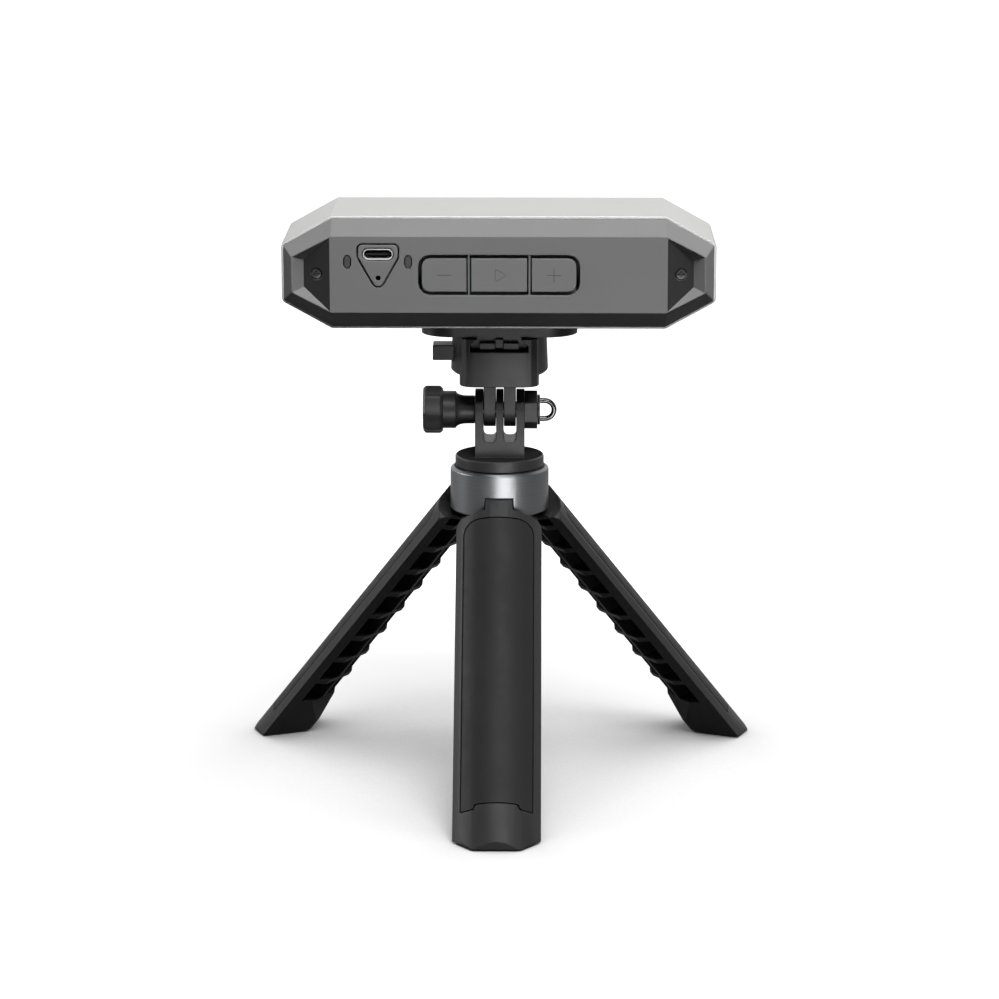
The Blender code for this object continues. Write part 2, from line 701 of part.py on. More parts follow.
def cover_pocket(side):
    """The wedge-shaped recess at one end of the rear cover, running out past its face."""
    half_width = SHELL_WIDTH / 2 - COVER_INSET - COVER_FACE_INSET_X
    half_height = SHELL_HEIGHT / 2 - COVER_INSET - COVER_FACE_INSET_Z
    near_x = half_width - COVER_FACE_CUT_X + POCKET_LAND
    far_x = half_width - POCKET_LAND
    near_z = half_height - POCKET_LAND
    far_z = half_height - COVER_FACE_CUT_Z
    floor_x = half_width - POCKET_FLOOR_SETBACK
    floor_z = POCKET_FLOOR_HEIGHT / 2
    mouth = [(near_x, near_z), (far_x, far_z), (far_x, -far_z), (near_x, -near_z)]
    floor = [(near_x, near_z), (floor_x, floor_z), (floor_x, -floor_z), (near_x, -near_z)]
    depths = [POCKET_NEAR_DEPTH, POCKET_DEPTH, POCKET_DEPTH, POCKET_NEAR_DEPTH]
    outer = [Vector((side * x, COVER_FACE - OVERRUN, SHELL_MIDDLE + z)) for x, z in mouth]
    rim = [Vector((side * x, COVER_FACE, SHELL_MIDDLE + z)) for x, z in mouth]
    base = [Vector((side * x, COVER_FACE + d, SHELL_MIDDLE + z)) for (x, z), d in zip(floor, depths)]
    return solid("pocket", [([outer, rim, base], False)])


def pocket_floor_y(x):
    """How deep the sloping pocket floor lies at a place along X."""
    half_width = SHELL_WIDTH / 2 - COVER_INSET - COVER_FACE_INSET_X
    near_x = half_width - COVER_FACE_CUT_X + POCKET_LAND
    share = (x - near_x) / (half_width - POCKET_FLOOR_SETBACK - near_x)
    return COVER_FACE + POCKET_NEAR_DEPTH + (POCKET_DEPTH - POCKET_NEAR_DEPTH) * share


def port_outline(outwards):
    """The insert's shape: a flat top, short sides and a rounded point below."""
    top = SHELL_MIDDLE + PORT_TOP_RISE
    half = PORT_WIDTH / 2
    points = [
        (PORT_X, top - PORT_DROP),
        (PORT_X + half, top - PORT_SIDE),
        (PORT_X + half, top),
        (PORT_X - half, top),
        (PORT_X - half, top - PORT_SIDE),
    ]
    corner = PORT_CORNER + outwards
    corners = [PORT_TIP_CORNER + outwards, corner, corner, corner, corner]
    return rounded(inset(points, -outwards), corners, CORNER_STEPS)


def pipe_outline(x, outwards):
    """The pill-shaped section of a light pipe, standing upright."""
    pill = stadium(PIPE_HEIGHT + 2 * outwards, PIPE_WIDTH + 2 * outwards, CORNER_STEPS)
    return [(x - b, SHELL_MIDDLE + PIPE_RISE + a) for a, b in pill]


def keys_outline(outwards):
    """The outline round all three keys."""
    centre = (KEYS_CENTRE_X, SHELL_MIDDLE - KEYS_DROP)
    points = rectangle(KEYS_WIDTH + 2 * outwards, KEYS_HEIGHT + 2 * outwards, centre)
    return rounded(points, KEYS_CORNER - KEYS_GROOVE + outwards, CORNER_STEPS)


def cover_screw_seat():
    """Where the cover screw's head rests, on the pocket's sloping floor."""
    return pocket_floor_y(COVER_SCREW_X) + COVER_SCREW_SINK + COVER_SCREW_HEAD + GAP


def rear_cover(head):
    """A raised panel with chamfered sides, two end pockets, a lip inside the shell and its openings."""
    base = octagon(SHELL_WIDTH, SHELL_HEIGHT, SHELL_CUT_X, SHELL_CUT_Z, (0.0, SHELL_MIDDLE))
    face = octagon(
        SHELL_WIDTH - 2 * (COVER_INSET + COVER_FACE_INSET_X),
        SHELL_HEIGHT - 2 * (COVER_INSET + COVER_FACE_INSET_Z),
        COVER_FACE_CUT_X,
        COVER_FACE_CUT_Z,
        (0.0, SHELL_MIDDLE),
    )
    lip_outside = shell_outline(SHELL_WALL + GAP)
    lip_inside = shell_outline(SHELL_WALL + GAP + COVER_LIP_WALL)
    lip_end = -SHELL_REAR + COVER_LIP
    rings = [
        lift(rounded(face, COVER_CORNER, SHELL_CORNER_STEPS), "XZ", COVER_FACE),
        lift(rounded(inset(base, COVER_INSET), COVER_CORNER, SHELL_CORNER_STEPS), "XZ", COVER_BACK),
        lift(lip_outside, "XZ", COVER_BACK),
        lift(lip_outside, "XZ", lip_end),
        lift(lip_inside, "XZ", lip_end),
        lift(lip_inside, "XZ", COVER_BACK),
    ]
    cover = solid("rear_cover", [(rings, False)])
    hollow = rectangle(COVER_HOLLOW_WIDTH, COVER_HOLLOW_HEIGHT, (0.0, SHELL_MIDDLE))
    through = (COVER_FACE - OVERRUN, COVER_INNER + OVERRUN)
    cut(
        cover,
        prism("hollow", hollow, "XZ", COVER_INNER, lip_end + OVERRUN),
        prism("port", port_outline(0.0), "XZ", *through),
        prism("keys", keys_outline(KEYS_GROOVE), "XZ", *through),
    )
    for side in (-1, 1):
        pipe_x = PIPE_MIDDLE_X + side * PIPE_SPACING / 2
        centre = (side * COVER_SCREW_X, 0.0, SHELL_MIDDLE)
        counterbore = COVER_SCREW_HEAD_RADIUS + GAP
        clear = COVER_SCREW_RADIUS + GAP
        cut(
            cover,
            prism("pipe", pipe_outline(pipe_x, GAP), "XZ", *through),
            cover_pocket(side),
            cylinder("head", counterbore, "Y", centre, COVER_FACE - OVERRUN, cover_screw_seat(), SMALL_STEPS),
            cylinder("shank", clear, "Y", centre, COVER_FACE, lip_end, SMALL_STEPS),
        )
    seat(cover, head, "cover_grey")


def cover_screws(head):
    """A small pan-head screw in each end pocket, running into the bench's posts."""
    for name, side in (("left_cover_screw", -1), ("right_cover_screw", 1)):
        top = cover_screw_seat() - GAP
        profile = [
            (top - COVER_SCREW_HEAD, 0.0),
            (top - COVER_SCREW_HEAD, COVER_SCREW_HEAD_RADIUS),
            (top, COVER_SCREW_HEAD_RADIUS),
            (top, COVER_SCREW_RADIUS),
            (top + COVER_SCREW_LENGTH, COVER_SCREW_RADIUS),
            (top + COVER_SCREW_LENGTH, 0.0),
        ]
        centre = (side * COVER_SCREW_X, 0.0, SHELL_MIDDLE)
        seat(turned(name, profile, "Y", centre, SMALL_STEPS), head, "dark_steel")


def port_pieces(head):
    """The insert with its socket and pinhole, the metal socket shell and the contact tongue."""
    socket_centre = (PORT_X, SHELL_MIDDLE + SOCKET_RISE)
    insert = prism("port_insert", port_outline(-PORT_GROOVE), "XZ", COVER_FACE, COVER_INNER + GAP)
    flange_end = COVER_INNER + GAP + PORT_FLANGE_THICKNESS
    join(insert, prism("flange", port_outline(PORT_FLANGE), "XZ", COVER_INNER + GAP, flange_end))
    mouth = stadium(SOCKET_WIDTH + 2 * GAP, SOCKET_HEIGHT + 2 * GAP, CORNER_STEPS * 2, socket_centre)
    pinhole = (PORT_X, 0.0, SHELL_MIDDLE - PINHOLE_DROP)
    through = (COVER_FACE - OVERRUN, flange_end + OVERRUN)
    cut(
        insert,
        prism("mouth", mouth, "XZ", *through),
        cylinder("pinhole", PINHOLE_RADIUS, "Y", pinhole, *through, SMALL_STEPS),
    )
    seat(insert, head, "cover_grey")
    outside = stadium(SOCKET_WIDTH, SOCKET_HEIGHT, CORNER_STEPS * 2, socket_centre)
    bore_size = (SOCKET_WIDTH - 2 * SOCKET_WALL, SOCKET_HEIGHT - 2 * SOCKET_WALL)
    inside = stadium(*bore_size, CORNER_STEPS * 2, socket_centre)
    front = COVER_FACE + SOCKET_SINK
    back = BOARD_Y - GAP
    route = ((inside, front), (outside, front), (outside, back), (inside, back))
    rings = [lift(outline, "XZ", level) for outline, level in route]
    seat(solid("usb_shell", [(rings, True)]), head, "steel")
    plug = stadium(bore_size[0] - 2 * GAP, bore_size[1] - 2 * GAP, CORNER_STEPS * 2, socket_centre)
    tongue = prism("usb_tongue", plug, "XZ", back - SOCKET_BACK_WALL, back)
    blade = rectangle(TONGUE_WIDTH, TONGUE_THICKNESS, socket_centre)
    join(tongue, prism("blade", blade, "XZ", front + TONGUE_SINK, back - SOCKET_BACK_WALL / 2))
    seat(tongue, head, "tongue_black")


def light_pipes(head):
    """Two smoked pipes that carry the state lamps' light to the cover."""
    for name, side in (("left_light_pipe", -1), ("right_light_pipe", 1)):
        x = PIPE_MIDDLE_X + side * PIPE_SPACING / 2
        foot_y = BOARD_Y - GAP
        rings = [
            lift(pipe_outline(x, 0.0), "XZ", COVER_FACE + PIPE_SINK),
            lift(pipe_outline(x, 0.0), "XZ", foot_y - PIPE_FOOT),
            lift(pipe_outline(x, PIPE_FOOT_EDGE), "XZ", foot_y - PIPE_FOOT),
            lift(pipe_outline(x, PIPE_FOOT_EDGE), "XZ", foot_y),
        ]
        seat(solid(name, [(rings, False)]), head, "pipe_smoke")


def key_spans():
    """Each key's left and right side and its middle."""
    left = KEYS_CENTRE_X - KEYS_WIDTH / 2
    right = KEYS_CENTRE_X + KEYS_WIDTH / 2
    play_left = KEYS_CENTRE_X - PLAY_KEY_WIDTH / 2
    play_right = KEYS_CENTRE_X + PLAY_KEY_WIDTH / 2
    return {
        "minus": (left, play_left - KEY_DIVIDER),
        "play": (play_left, play_right),
        "plus": (play_right + KEY_DIVIDER, right),
    }


def key_corners(name):
    """Which of a key's corners are rounded: only those at the ends of the row."""
    size = KEYS_CORNER - KEYS_GROOVE
    return {"minus": [size, 0.0, 0.0, size], "play": [0.0] * 4, "plus": [0.0, size, size, 0.0]}[name]


def keys(head, pivots):
    """Three keys side by side, each with a retaining flange and a stem over its switch."""
    middle_z = SHELL_MIDDLE - KEYS_DROP
    low, high = middle_z - KEYS_HEIGHT / 2, middle_z + KEYS_HEIGHT / 2
    flange_near = COVER_INNER + GAP
    flange_far = flange_near + KEY_FLANGE_THICKNESS
    stem_end = SWITCH_TIP - KEY_TRAVEL - KEY_SLACK
    back = BOARD_Y - GAP
    for name, (left, right) in key_spans().items():
        outline = rounded(box_outline(left, right, low, high), key_corners(name), CORNER_STEPS)
        key = prism(name + "_button", outline, "XZ", COVER_FACE + KEY_SINK, flange_far)
        flange = box_outline(left, right, low - KEY_FLANGE, high + KEY_FLANGE)
        centre = Vector(((left + right) / 2, 0.0, middle_z))
        stem_root = flange_near + KEY_FLANGE_THICKNESS / 2
        join(
            key,
            prism("flange", flange, "XZ", flange_near, flange_far),
            cylinder("stem", KEY_STEM_RADIUS, "Y", centre, stem_root, stem_end, SMALL_STEPS),
        )
        seat(key, pivots[name], "key_grey")
        body = rectangle(SWITCH_SIZE, SWITCH_SIZE, (centre.x, middle_z))
        switch = prism(name + "_switch", body, "XZ", back - SWITCH_BODY, back)
        plunger_root = back - SWITCH_BODY / 2
        span = (SWITCH_TIP, plunger_root)
        join(switch, cylinder("plunger", SWITCH_PLUNGER_RADIUS, "Y", centre, *span, SMALL_STEPS))
        seat(switch, head, "steel")


def main_board(head):
    """The circuit board with a shielding can, carried on the bench's posts."""
    outline = octagon(SHELL_WIDTH, SHELL_HEIGHT, SHELL_CUT_X, SHELL_CUT_Z, (0.0, SHELL_MIDDLE))
    outline = inset(outline, SHELL_WALL + BOARD_MARGIN)
    board = prism("main_board", outline, "XZ", BOARD_Y, BOARD_FRONT)
    can = rectangle(SHIELD_WIDTH, SHIELD_HEIGHT, (0.0, SHELL_MIDDLE))
    join(board, prism("can", can, "XZ", BOARD_FRONT - BOARD_THICKNESS / 2, BOARD_FRONT + SHIELD_DEPTH))
    for side in (-1, 1):
        centre = (side * COVER_SCREW_X, 0.0, SHELL_MIDDLE)
        through = (BOARD_Y - OVERRUN, BOARD_FRONT + OVERRUN)
        cut(board, cylinder("hole", POST_RADIUS + GAP, "Y", centre, *through, SMALL_STEPS))
    seat(board, head, "board_green")


def optics():
    """Each barrel's name, place along X and radius."""
    return (
        ("left_camera", -CAMERA_SPACING / 2, CAMERA_RADIUS),
        ("projector", PROJECTOR_X, PROJECTOR_RADIUS),
        ("colour_camera", COLOUR_X, COLOUR_RADIUS),
        ("right_camera", CAMERA_SPACING / 2, CAMERA_RADIUS),
    )


def lamps():
    """Each fill lamp's name and place along X."""
    return (("left_lamp", -LAMP_SPACING / 2), ("right_lamp", LAMP_SPACING / 2))


def optical_bench(head):
    """A stiff plate that fills the shell's section, with the posts that take the cover screws."""
    bench = prism("optical_bench", shell_outline(SHELL_WALL + GAP), "XZ", BENCH_Y, BENCH_FRONT)
    post_end = COVER_BACK + GAP
    pilot_end = cover_screw_seat() + COVER_SCREW_LENGTH + OVERRUN
    pilot = COVER_SCREW_RADIUS + GAP
    through = (BENCH_Y - OVERRUN, BENCH_FRONT + OVERRUN)
    for side in (-1, 1):
        centre = (side * COVER_SCREW_X, 0.0, SHELL_MIDDLE)
        post_root = BENCH_Y + BENCH_THICKNESS / 2
        join(bench, cylinder("post", POST_RADIUS, "Y", centre, post_end, post_root, SMALL_STEPS))
        cut(bench, cylinder("pilot", pilot, "Y", centre, post_end - OVERRUN, pilot_end, SMALL_STEPS))
    for _, x, radius in optics():
        centre = (x, 0.0, SHELL_MIDDLE)
        cut(bench, cylinder("seat", radius + GAP, "Y", centre, *through, SMALL_STEPS))
    seat(bench, head, "aluminium")


def barrels(head):
    """The cameras' and the projector's barrels, each with a glass lens in its mouth."""
    tip = WINDOW_FACE
    back = BENCH_Y - BARREL_BACK
    for name, x, radius in optics():
        centre = (x, 0.0, SHELL_MIDDLE)
        mouth = radius - BARREL_WALL
        flange_low = BENCH_Y - GAP - BARREL_FLANGE_THICKNESS
        profile = [
            (back, 0.0),
            (back, radius),
            (flange_low, radius),
            (flange_low, radius + BARREL_FLANGE),
            (BENCH_Y - GAP, radius + BARREL_FLANGE),
            (BENCH_Y - GAP, radius),
            (tip, radius),
            (tip, mouth),
            (tip - BARREL_MOUTH, mouth),
            (tip - BARREL_MOUTH, 0.0),
        ]
        seat(turned(name + "_barrel", profile, "Y", centre, SMALL_STEPS), head, "black_plastic")
        seated = tip - BARREL_MOUTH + GAP
        lens = domed_profile(seated, LENS_THICKNESS, mouth - GAP, LENS_DOME)
        seat(turned(name + "_lens", lens, "Y", centre, SMALL_STEPS), head, "lens_glass")


def domed_profile(start, straight, radius, dome):
    """A short bar with a rounded front, as a turned profile."""
    profile = [(start, 0.0), (start, radius)]
    for k in range(DOME_STEPS):
        turn = math.pi / 2 * k / DOME_STEPS
        profile.append((start + straight + dome * math.sin(turn), radius * math.cos(turn)))
    profile.append((start + straight + dome, 0.0))
    return profile


def fill_lamps(head):
    """Two white lamps standing on the bench."""
    for name, x in lamps():
        start = BENCH_FRONT + GAP
        profile = domed_profile(start, WINDOW_FACE - LAMP_DOME - start, LAMP_RADIUS, LAMP_DOME)
        seat(turned(name, profile, "Y", (x, 0.0, SHELL_MIDDLE), SMALL_STEPS), head, "lamp_white")


def front_window(head):
    """The dark window on the shell's ledge, with a round hole for each barrel and lamp."""
    window = prism("front_window", window_outline(GAP), "XZ", WINDOW_FACE - WINDOW_THICKNESS, WINDOW_FACE)
    holes = [(x, radius) for _, x, radius in optics()] + [(x, LAMP_RADIUS) for _, x in lamps()]
    for x, radius in holes:
        centre = (x, 0.0, SHELL_MIDDLE)
        low, high = WINDOW_FACE - WINDOW_THICKNESS - OVERRUN, WINDOW_FACE + OVERRUN
        cut(window, cylinder("hole", radius + GAP, "Y", centre, low, high, SMALL_STEPS))
    seat(window, head, "window_black")


# Mounting plate and clamp

def dovetail(widen, low, high):
    """The tongue's section, wide at the bottom; widened, it is the clamp's slot."""
    wide, narrow = DOVETAIL_WIDTH / 2 + widen, DOVETAIL_TOP_WIDTH / 2 + widen
    knee = TONGUE_BOTTOM + DOVETAIL_SIDE
    return [(-wide, low), (wide, low), (wide, knee), (narrow, high), (-narrow, high), (-wide, knee)]


def mounting_plate(head):
    """A stadium-shaped plate with a dovetail tongue, its nose ribs, a screw well and a latch channel."""
    plan = stadium(PLATE_LENGTH, PLATE_WIDTH, PLATE_END_STEPS)
    plate = prism("mounting_plate", plan, "XY", PLATE_BOTTOM, PLATE_TOP)
    tongue = dovetail(0.0, TONGUE_BOTTOM, PLATE_BOTTOM + GAP)
    join(plate, prism("tongue", tongue, "XZ", -TONGUE_FRONT, TONGUE_BACK))
    nose = (-TONGUE_FRONT - TONGUE_NOSE, -TONGUE_FRONT + TONGUE_NOSE)
    rib_low = TONGUE_BOTTOM + TONGUE_RIB_RISE
    rib = box_outline(-TONGUE_RIB_WIDTH / 2, TONGUE_RIB_WIDTH / 2, rib_low, rib_low + TONGUE_RIB_HEIGHT)
    join(plate, prism("rib", rib, "XZ", *nose))
    pad_low = TONGUE_BOTTOM + TONGUE_PAD_RISE
    for side in (-1, 1):
        middle = side * TONGUE_PAD_SPACING / 2
        left, right = middle - TONGUE_PAD_WIDTH / 2, middle + TONGUE_PAD_WIDTH / 2
        join(plate, prism("pad", box_outline(left, right, pad_low, pad_low + TONGUE_PAD_HEIGHT), "XZ", *nose))
    well_top = PLATE_BOTTOM + GAP + PLATE_SCREW_HEAD + GAP
    well = PLATE_SCREW_HEAD_RADIUS + GAP
    hole = PLATE_SCREW_RADIUS + GAP
    notch_top = TONGUE_BOTTOM + TOOTH_BITE + GAP
    half_notch = TOOTH_WIDTH / 2 + GAP
    pressed = -TOOTH_X + BUTTON_TRAVEL
    cut(
        plate,
        cylinder("well", well, "Z", SWIVEL, TONGUE_BOTTOM - OVERRUN, well_top, ROUND_STEPS),
        cylinder("hole", hole, "Z", SWIVEL, PLATE_BOTTOM, PLATE_TOP + OVERRUN, SMALL_STEPS),
        box(
            "channel",
            (pressed - GAP, -half_notch, TONGUE_BOTTOM - OVERRUN),
            (pressed + TOOTH_LENGTH + GAP, TONGUE_BACK + OVERRUN, notch_top),
        ),
        box(
            "notch",
            (-TOOTH_X - GAP, -half_notch, TONGUE_BOTTOM - OVERRUN),
            (pressed + GAP, half_notch, notch_top),
        ),
    )
    seat(plate, head, "black_plastic")


def plate_screw_and_insert(head):
    """The camera screw through the plate and the brass insert that it runs into."""
    low = PLATE_BOTTOM + GAP
    shoulder = low + PLATE_SCREW_HEAD
    end = SHELL_BOTTOM + PLATE_SCREW_REACH
    profile = [
        (low, 0.0),
        (low, PLATE_SCREW_HEAD_RADIUS),
        (shoulder, PLATE_SCREW_HEAD_RADIUS),
        (shoulder, PLATE_SCREW_RADIUS),
        (end, PLATE_SCREW_RADIUS),
        (end, 0.0),
    ]
    seat(turned("plate_screw", profile, "Z", SWIVEL, SMALL_STEPS), head, "steel")
    top = SHELL_BOTTOM + INSERT_LENGTH
    bore = PLATE_SCREW_RADIUS + GAP
    insert = tube("threaded_insert", INSERT_RADIUS, bore, "Z", SWIVEL, SHELL_BOTTOM, top, SMALL_STEPS)
    seat(insert, head, "brass")


def finger_outline():
    """A finger's side: round about the tilt axis and straight up into the clamp."""
    points = []
    for k in range(SMALL_STEPS // 2 + 1):
        turn = math.pi + math.pi * k / (SMALL_STEPS // 2)
        points.append((FINGER_RADIUS * math.cos(turn), TILT_HEIGHT + FINGER_RADIUS * math.sin(turn)))
    top = CLAMP_BOTTOM + OVERRUN
    return points + [(FINGER_RADIUS, top), (-FINGER_RADIUS, top)]


def clamp_body(head):
    """A round-backed block with a flat front, a dovetail slot, a button tunnel and two fingers."""
    half = CLAMP_BLOCK_WIDTH / 2
    plan = box_outline(-half, half, -CLAMP_BLOCK_FRONT, CLAMP_BLOCK_FRONT)
    plan = rounded(plan, CLAMP_BLOCK_CORNER, CORNER_STEPS)
    body = prism("clamp_body", plan, "XY", CLAMP_BOTTOM, CLAMP_TOP)
    low = CLAMP_BOTTOM + CLAMP_ROUND_RISE
    profile = [
        (low, 0.0),
        (low, CLAMP_ROUND_BOTTOM_RADIUS - CLAMP_ROUND_EDGE),
        (low + CLAMP_ROUND_EDGE, CLAMP_ROUND_BOTTOM_RADIUS),
        (CLAMP_TOP, CLAMP_ROUND_TOP_RADIUS),
        (CLAMP_TOP, 0.0),
    ]
    drum = turned("drum", profile, "Z", SWIVEL, FINE_STEPS)
    reach = CLAMP_ROUND_BOTTOM_RADIUS + OVERRUN
    cut(drum, box("flat", (-reach, -reach, low - OVERRUN), (reach, -CLAMP_ROUND_FLAT, CLAMP_TOP + OVERRUN)))
    join(body, drum)
    for side in (-1, 1):
        middle = FORK_CENTRE_X + side * SLOT_SPACING / 2
        left = middle - SLOT_WIDTH / 2 + FINGER_SLACK
        right = middle + SLOT_WIDTH / 2 - FINGER_SLACK
        join(body, prism("finger", finger_outline(), "YZ", left, right))
    slot = dovetail(GAP, SLOT_FLOOR, CLAMP_TOP + GAP)
    bore = SCREW_RADIUS + GAP
    tunnel_end = -CLAMP_ROUND_TOP_RADIUS + BUTTON_INSIDE + BUTTON_TRAVEL + GAP
    tunnel_half = BUTTON_WIDTH / 2 + GAP
    bar_half = BAR_WIDTH / 2 + GAP
    notch_half = TOOTH_WIDTH / 2 + GAP
    pocket_end = BAR_END_X + BUTTON_TRAVEL + 2 * GAP
    cut(
        body,
        prism("slot", slot, "XZ", -CLAMP_BLOCK_FRONT - OVERRUN, TONGUE_BACK + GAP),
        cylinder("bore", bore, "X", TILT_POINT, FORK_LEFT, FORK_RIGHT, SMALL_STEPS),
        box(
            "tunnel",
            (-CLAMP_ROUND_BOTTOM_RADIUS - OVERRUN, -tunnel_half, BUTTON_BOTTOM - GAP),
            (tunnel_end, tunnel_half, BUTTON_BOTTOM + BUTTON_HEIGHT + GAP),
        ),
        box(
            "pocket",
            (tunnel_end - OVERRUN, -bar_half, BUTTON_BOTTOM - GAP),
            (pocket_end, bar_half, BAR_TOP + GAP),
        ),
        box(
            "latch_window",
            (-TOOTH_X - GAP, -notch_half, BAR_TOP),
            (-TOOTH_X + BUTTON_TRAVEL + TOOTH_LENGTH + GAP, notch_half, SLOT_FLOOR + GAP),
        ),
    )
    seat(body, head, "black_plastic")


def release_button(release):
    """The button with its guide bar, latch tooth and spring bore."""
    left = -CLAMP_ROUND_TOP_RADIUS - BUTTON_PROUD
    right = -CLAMP_ROUND_TOP_RADIUS + BUTTON_INSIDE
    half = BUTTON_WIDTH / 2
    bar_half = BAR_WIDTH / 2
    tooth_half = TOOTH_WIDTH / 2
    button = box("release_button", (left, -half, BUTTON_BOTTOM), (right, half, BUTTON_BOTTOM + BUTTON_HEIGHT))
    join(
        button,
        box("bar", (left + OVERRUN, -bar_half, BUTTON_BOTTOM), (BAR_END_X, bar_half, BAR_TOP)),
        box(
            "tooth",
            (-TOOTH_X, -tooth_half, BAR_TOP - OVERRUN),
            (-TOOTH_X + TOOTH_LENGTH, tooth_half, TONGUE_BOTTOM + TOOTH_BITE),
        ),
    )
    centre = (0.0, 0.0, BUTTON_BOTTOM + BAR_HEIGHT / 2)
    bore_start = spring_start() - BUTTON_TRAVEL - GAP
    cut(button, cylinder("bore", SPRING_BORE, "X", centre, bore_start, BAR_END_X + OVERRUN, SMALL_STEPS))
    seat(button, release, "black_plastic")


def spring_start():
    """The spring's outer end, with its inner end against the pocket's end wall."""
    return BAR_END_X + BUTTON_TRAVEL + GAP - SPRING_LENGTH


def release_spring(head):
    """The small coil behind the button, drawn at its pressed length."""
    centre = (0.0, 0.0, BUTTON_BOTTOM + BAR_HEIGHT / 2)
    steps = SPRING_TURNS * SPRING_STEPS
    pitch = (SPRING_LENGTH - 2 * SPRING_WIRE) / steps
    rings = []
    for k in range(steps + 1):
        turn = 2 * math.pi * k / SPRING_STEPS
        along = spring_start() + SPRING_WIRE + pitch * k
        ring = []
        for j in range(SPRING_SIDES):
            roll = 2 * math.pi * j / SPRING_SIDES
            reach = SPRING_RADIUS + SPRING_WIRE * math.cos(roll)
            place = along + SPRING_WIRE * math.sin(roll)
            ring.append(around("X", centre, place, reach * math.cos(turn), reach * math.sin(turn)))
        rings.append(ring)
    seat(solid("release_spring", [(rings, False)]), head, "steel")


# Fork adapter and clamp screw

def hexagon(across_corners):
    """Radius by angle of a hexagon with two flats facing the first direction."""
    apothem = across_corners / 2 * math.cos(math.pi / 6)

    def radius(turn):
        return apothem / math.cos((turn + math.pi / 6) % (math.pi / 3) - math.pi / 6)

    return radius


def fork_adapter(adapter):
    """The swivelling disc with its three-prong fork and the hexagonal boss that holds the nut."""
    profile = [
        (DISC_BOTTOM, 0.0),
        (DISC_BOTTOM, DISC_RADIUS),
        (DISC_TOP - DISC_CHAMFER, DISC_RADIUS),
        (DISC_TOP, DISC_RADIUS - DISC_CHAMFER),
        (DISC_TOP, 0.0),
    ]
    fork = turned("fork_adapter", profile, "Z", SWIVEL, FINE_STEPS)
    side = []
    for k in range(SMALL_STEPS // 2 + 1):
        turn = math.pi * k / (SMALL_STEPS // 2)
        side.append((FORK_DEPTH / 2 * math.cos(turn), TILT_HEIGHT + FORK_DEPTH / 2 * math.sin(turn)))
    foot = DISC_TOP - DISC_HEIGHT / 2
    side += [(-FORK_DEPTH / 2, foot), (FORK_DEPTH / 2, foot)]
    join(fork, prism("prongs", side, "YZ", FORK_LEFT, FORK_RIGHT))
    hexagonal = hexagon(HEX_WIDTH)
    boss = [(FORK_RIGHT - OVERRUN, hexagonal), (HEX_END, hexagonal)]
    join(fork, turned("boss", boss, "X", TILT_POINT, HEX_STEPS))
    top = TILT_HEIGHT + FORK_DEPTH / 2 + OVERRUN
    for side_of in (-1, 1):
        middle = FORK_CENTRE_X + side_of * SLOT_SPACING / 2
        slot = box_outline(middle - SLOT_WIDTH / 2, middle + SLOT_WIDTH / 2, DISC_TOP + SLOT_FLOOR_RISE, top)
        slot = rounded(slot, [SLOT_CORNER, SLOT_CORNER, 0.0, 0.0], CORNER_STEPS)
        cut(fork, prism("slot", slot, "XZ", -FORK_DEPTH / 2 - OVERRUN, FORK_DEPTH / 2 + OVERRUN))
    nut_room = hexagon(nut_corners() + 2 * GAP)
    nut_seat = HEX_END - NUT_THICKNESS - GAP
    room = [(nut_seat, nut_room), (HEX_END + OVERRUN, nut_room)]
    bore_top = DISC_BOTTOM + STUD_REACH + GAP
    stud_hole = STUD_RADIUS + GAP
    cut(
        fork,
        cylinder("bore", SCREW_RADIUS + GAP, "X", TILT_POINT, FORK_LEFT - OVERRUN, HEX_END, SMALL_STEPS),
        turned("nut_room", room, "X", TILT_POINT, HEX_STEPS),
        cylinder("stud_hole", stud_hole, "Z", SWIVEL, DISC_BOTTOM - OVERRUN, bore_top, SMALL_STEPS),
    )
    seat(fork, adapter, "black_plastic")
    low, high = nut_seat + GAP, HEX_END
    outside = hexagon(nut_corners())
    bore = SCREW_RADIUS + GAP
    profile = [(low, bore), (low, outside), (high, outside), (high, bore)]
    seat(turned("clamp_nut", profile, "X", TILT_POINT, HEX_STEPS, True), adapter, "steel")


def nut_corners():
    """The nut's size across its corners."""
    return NUT_FLATS / math.cos(math.pi / 6)


def lobed(radius):
    """Radius by angle of the knob's scalloped rim."""
    def reach(turn):
        return radius - KNOB_LOBE_DEPTH * (1 - math.cos(KNOB_LOBES * turn)) / 2

    return reach


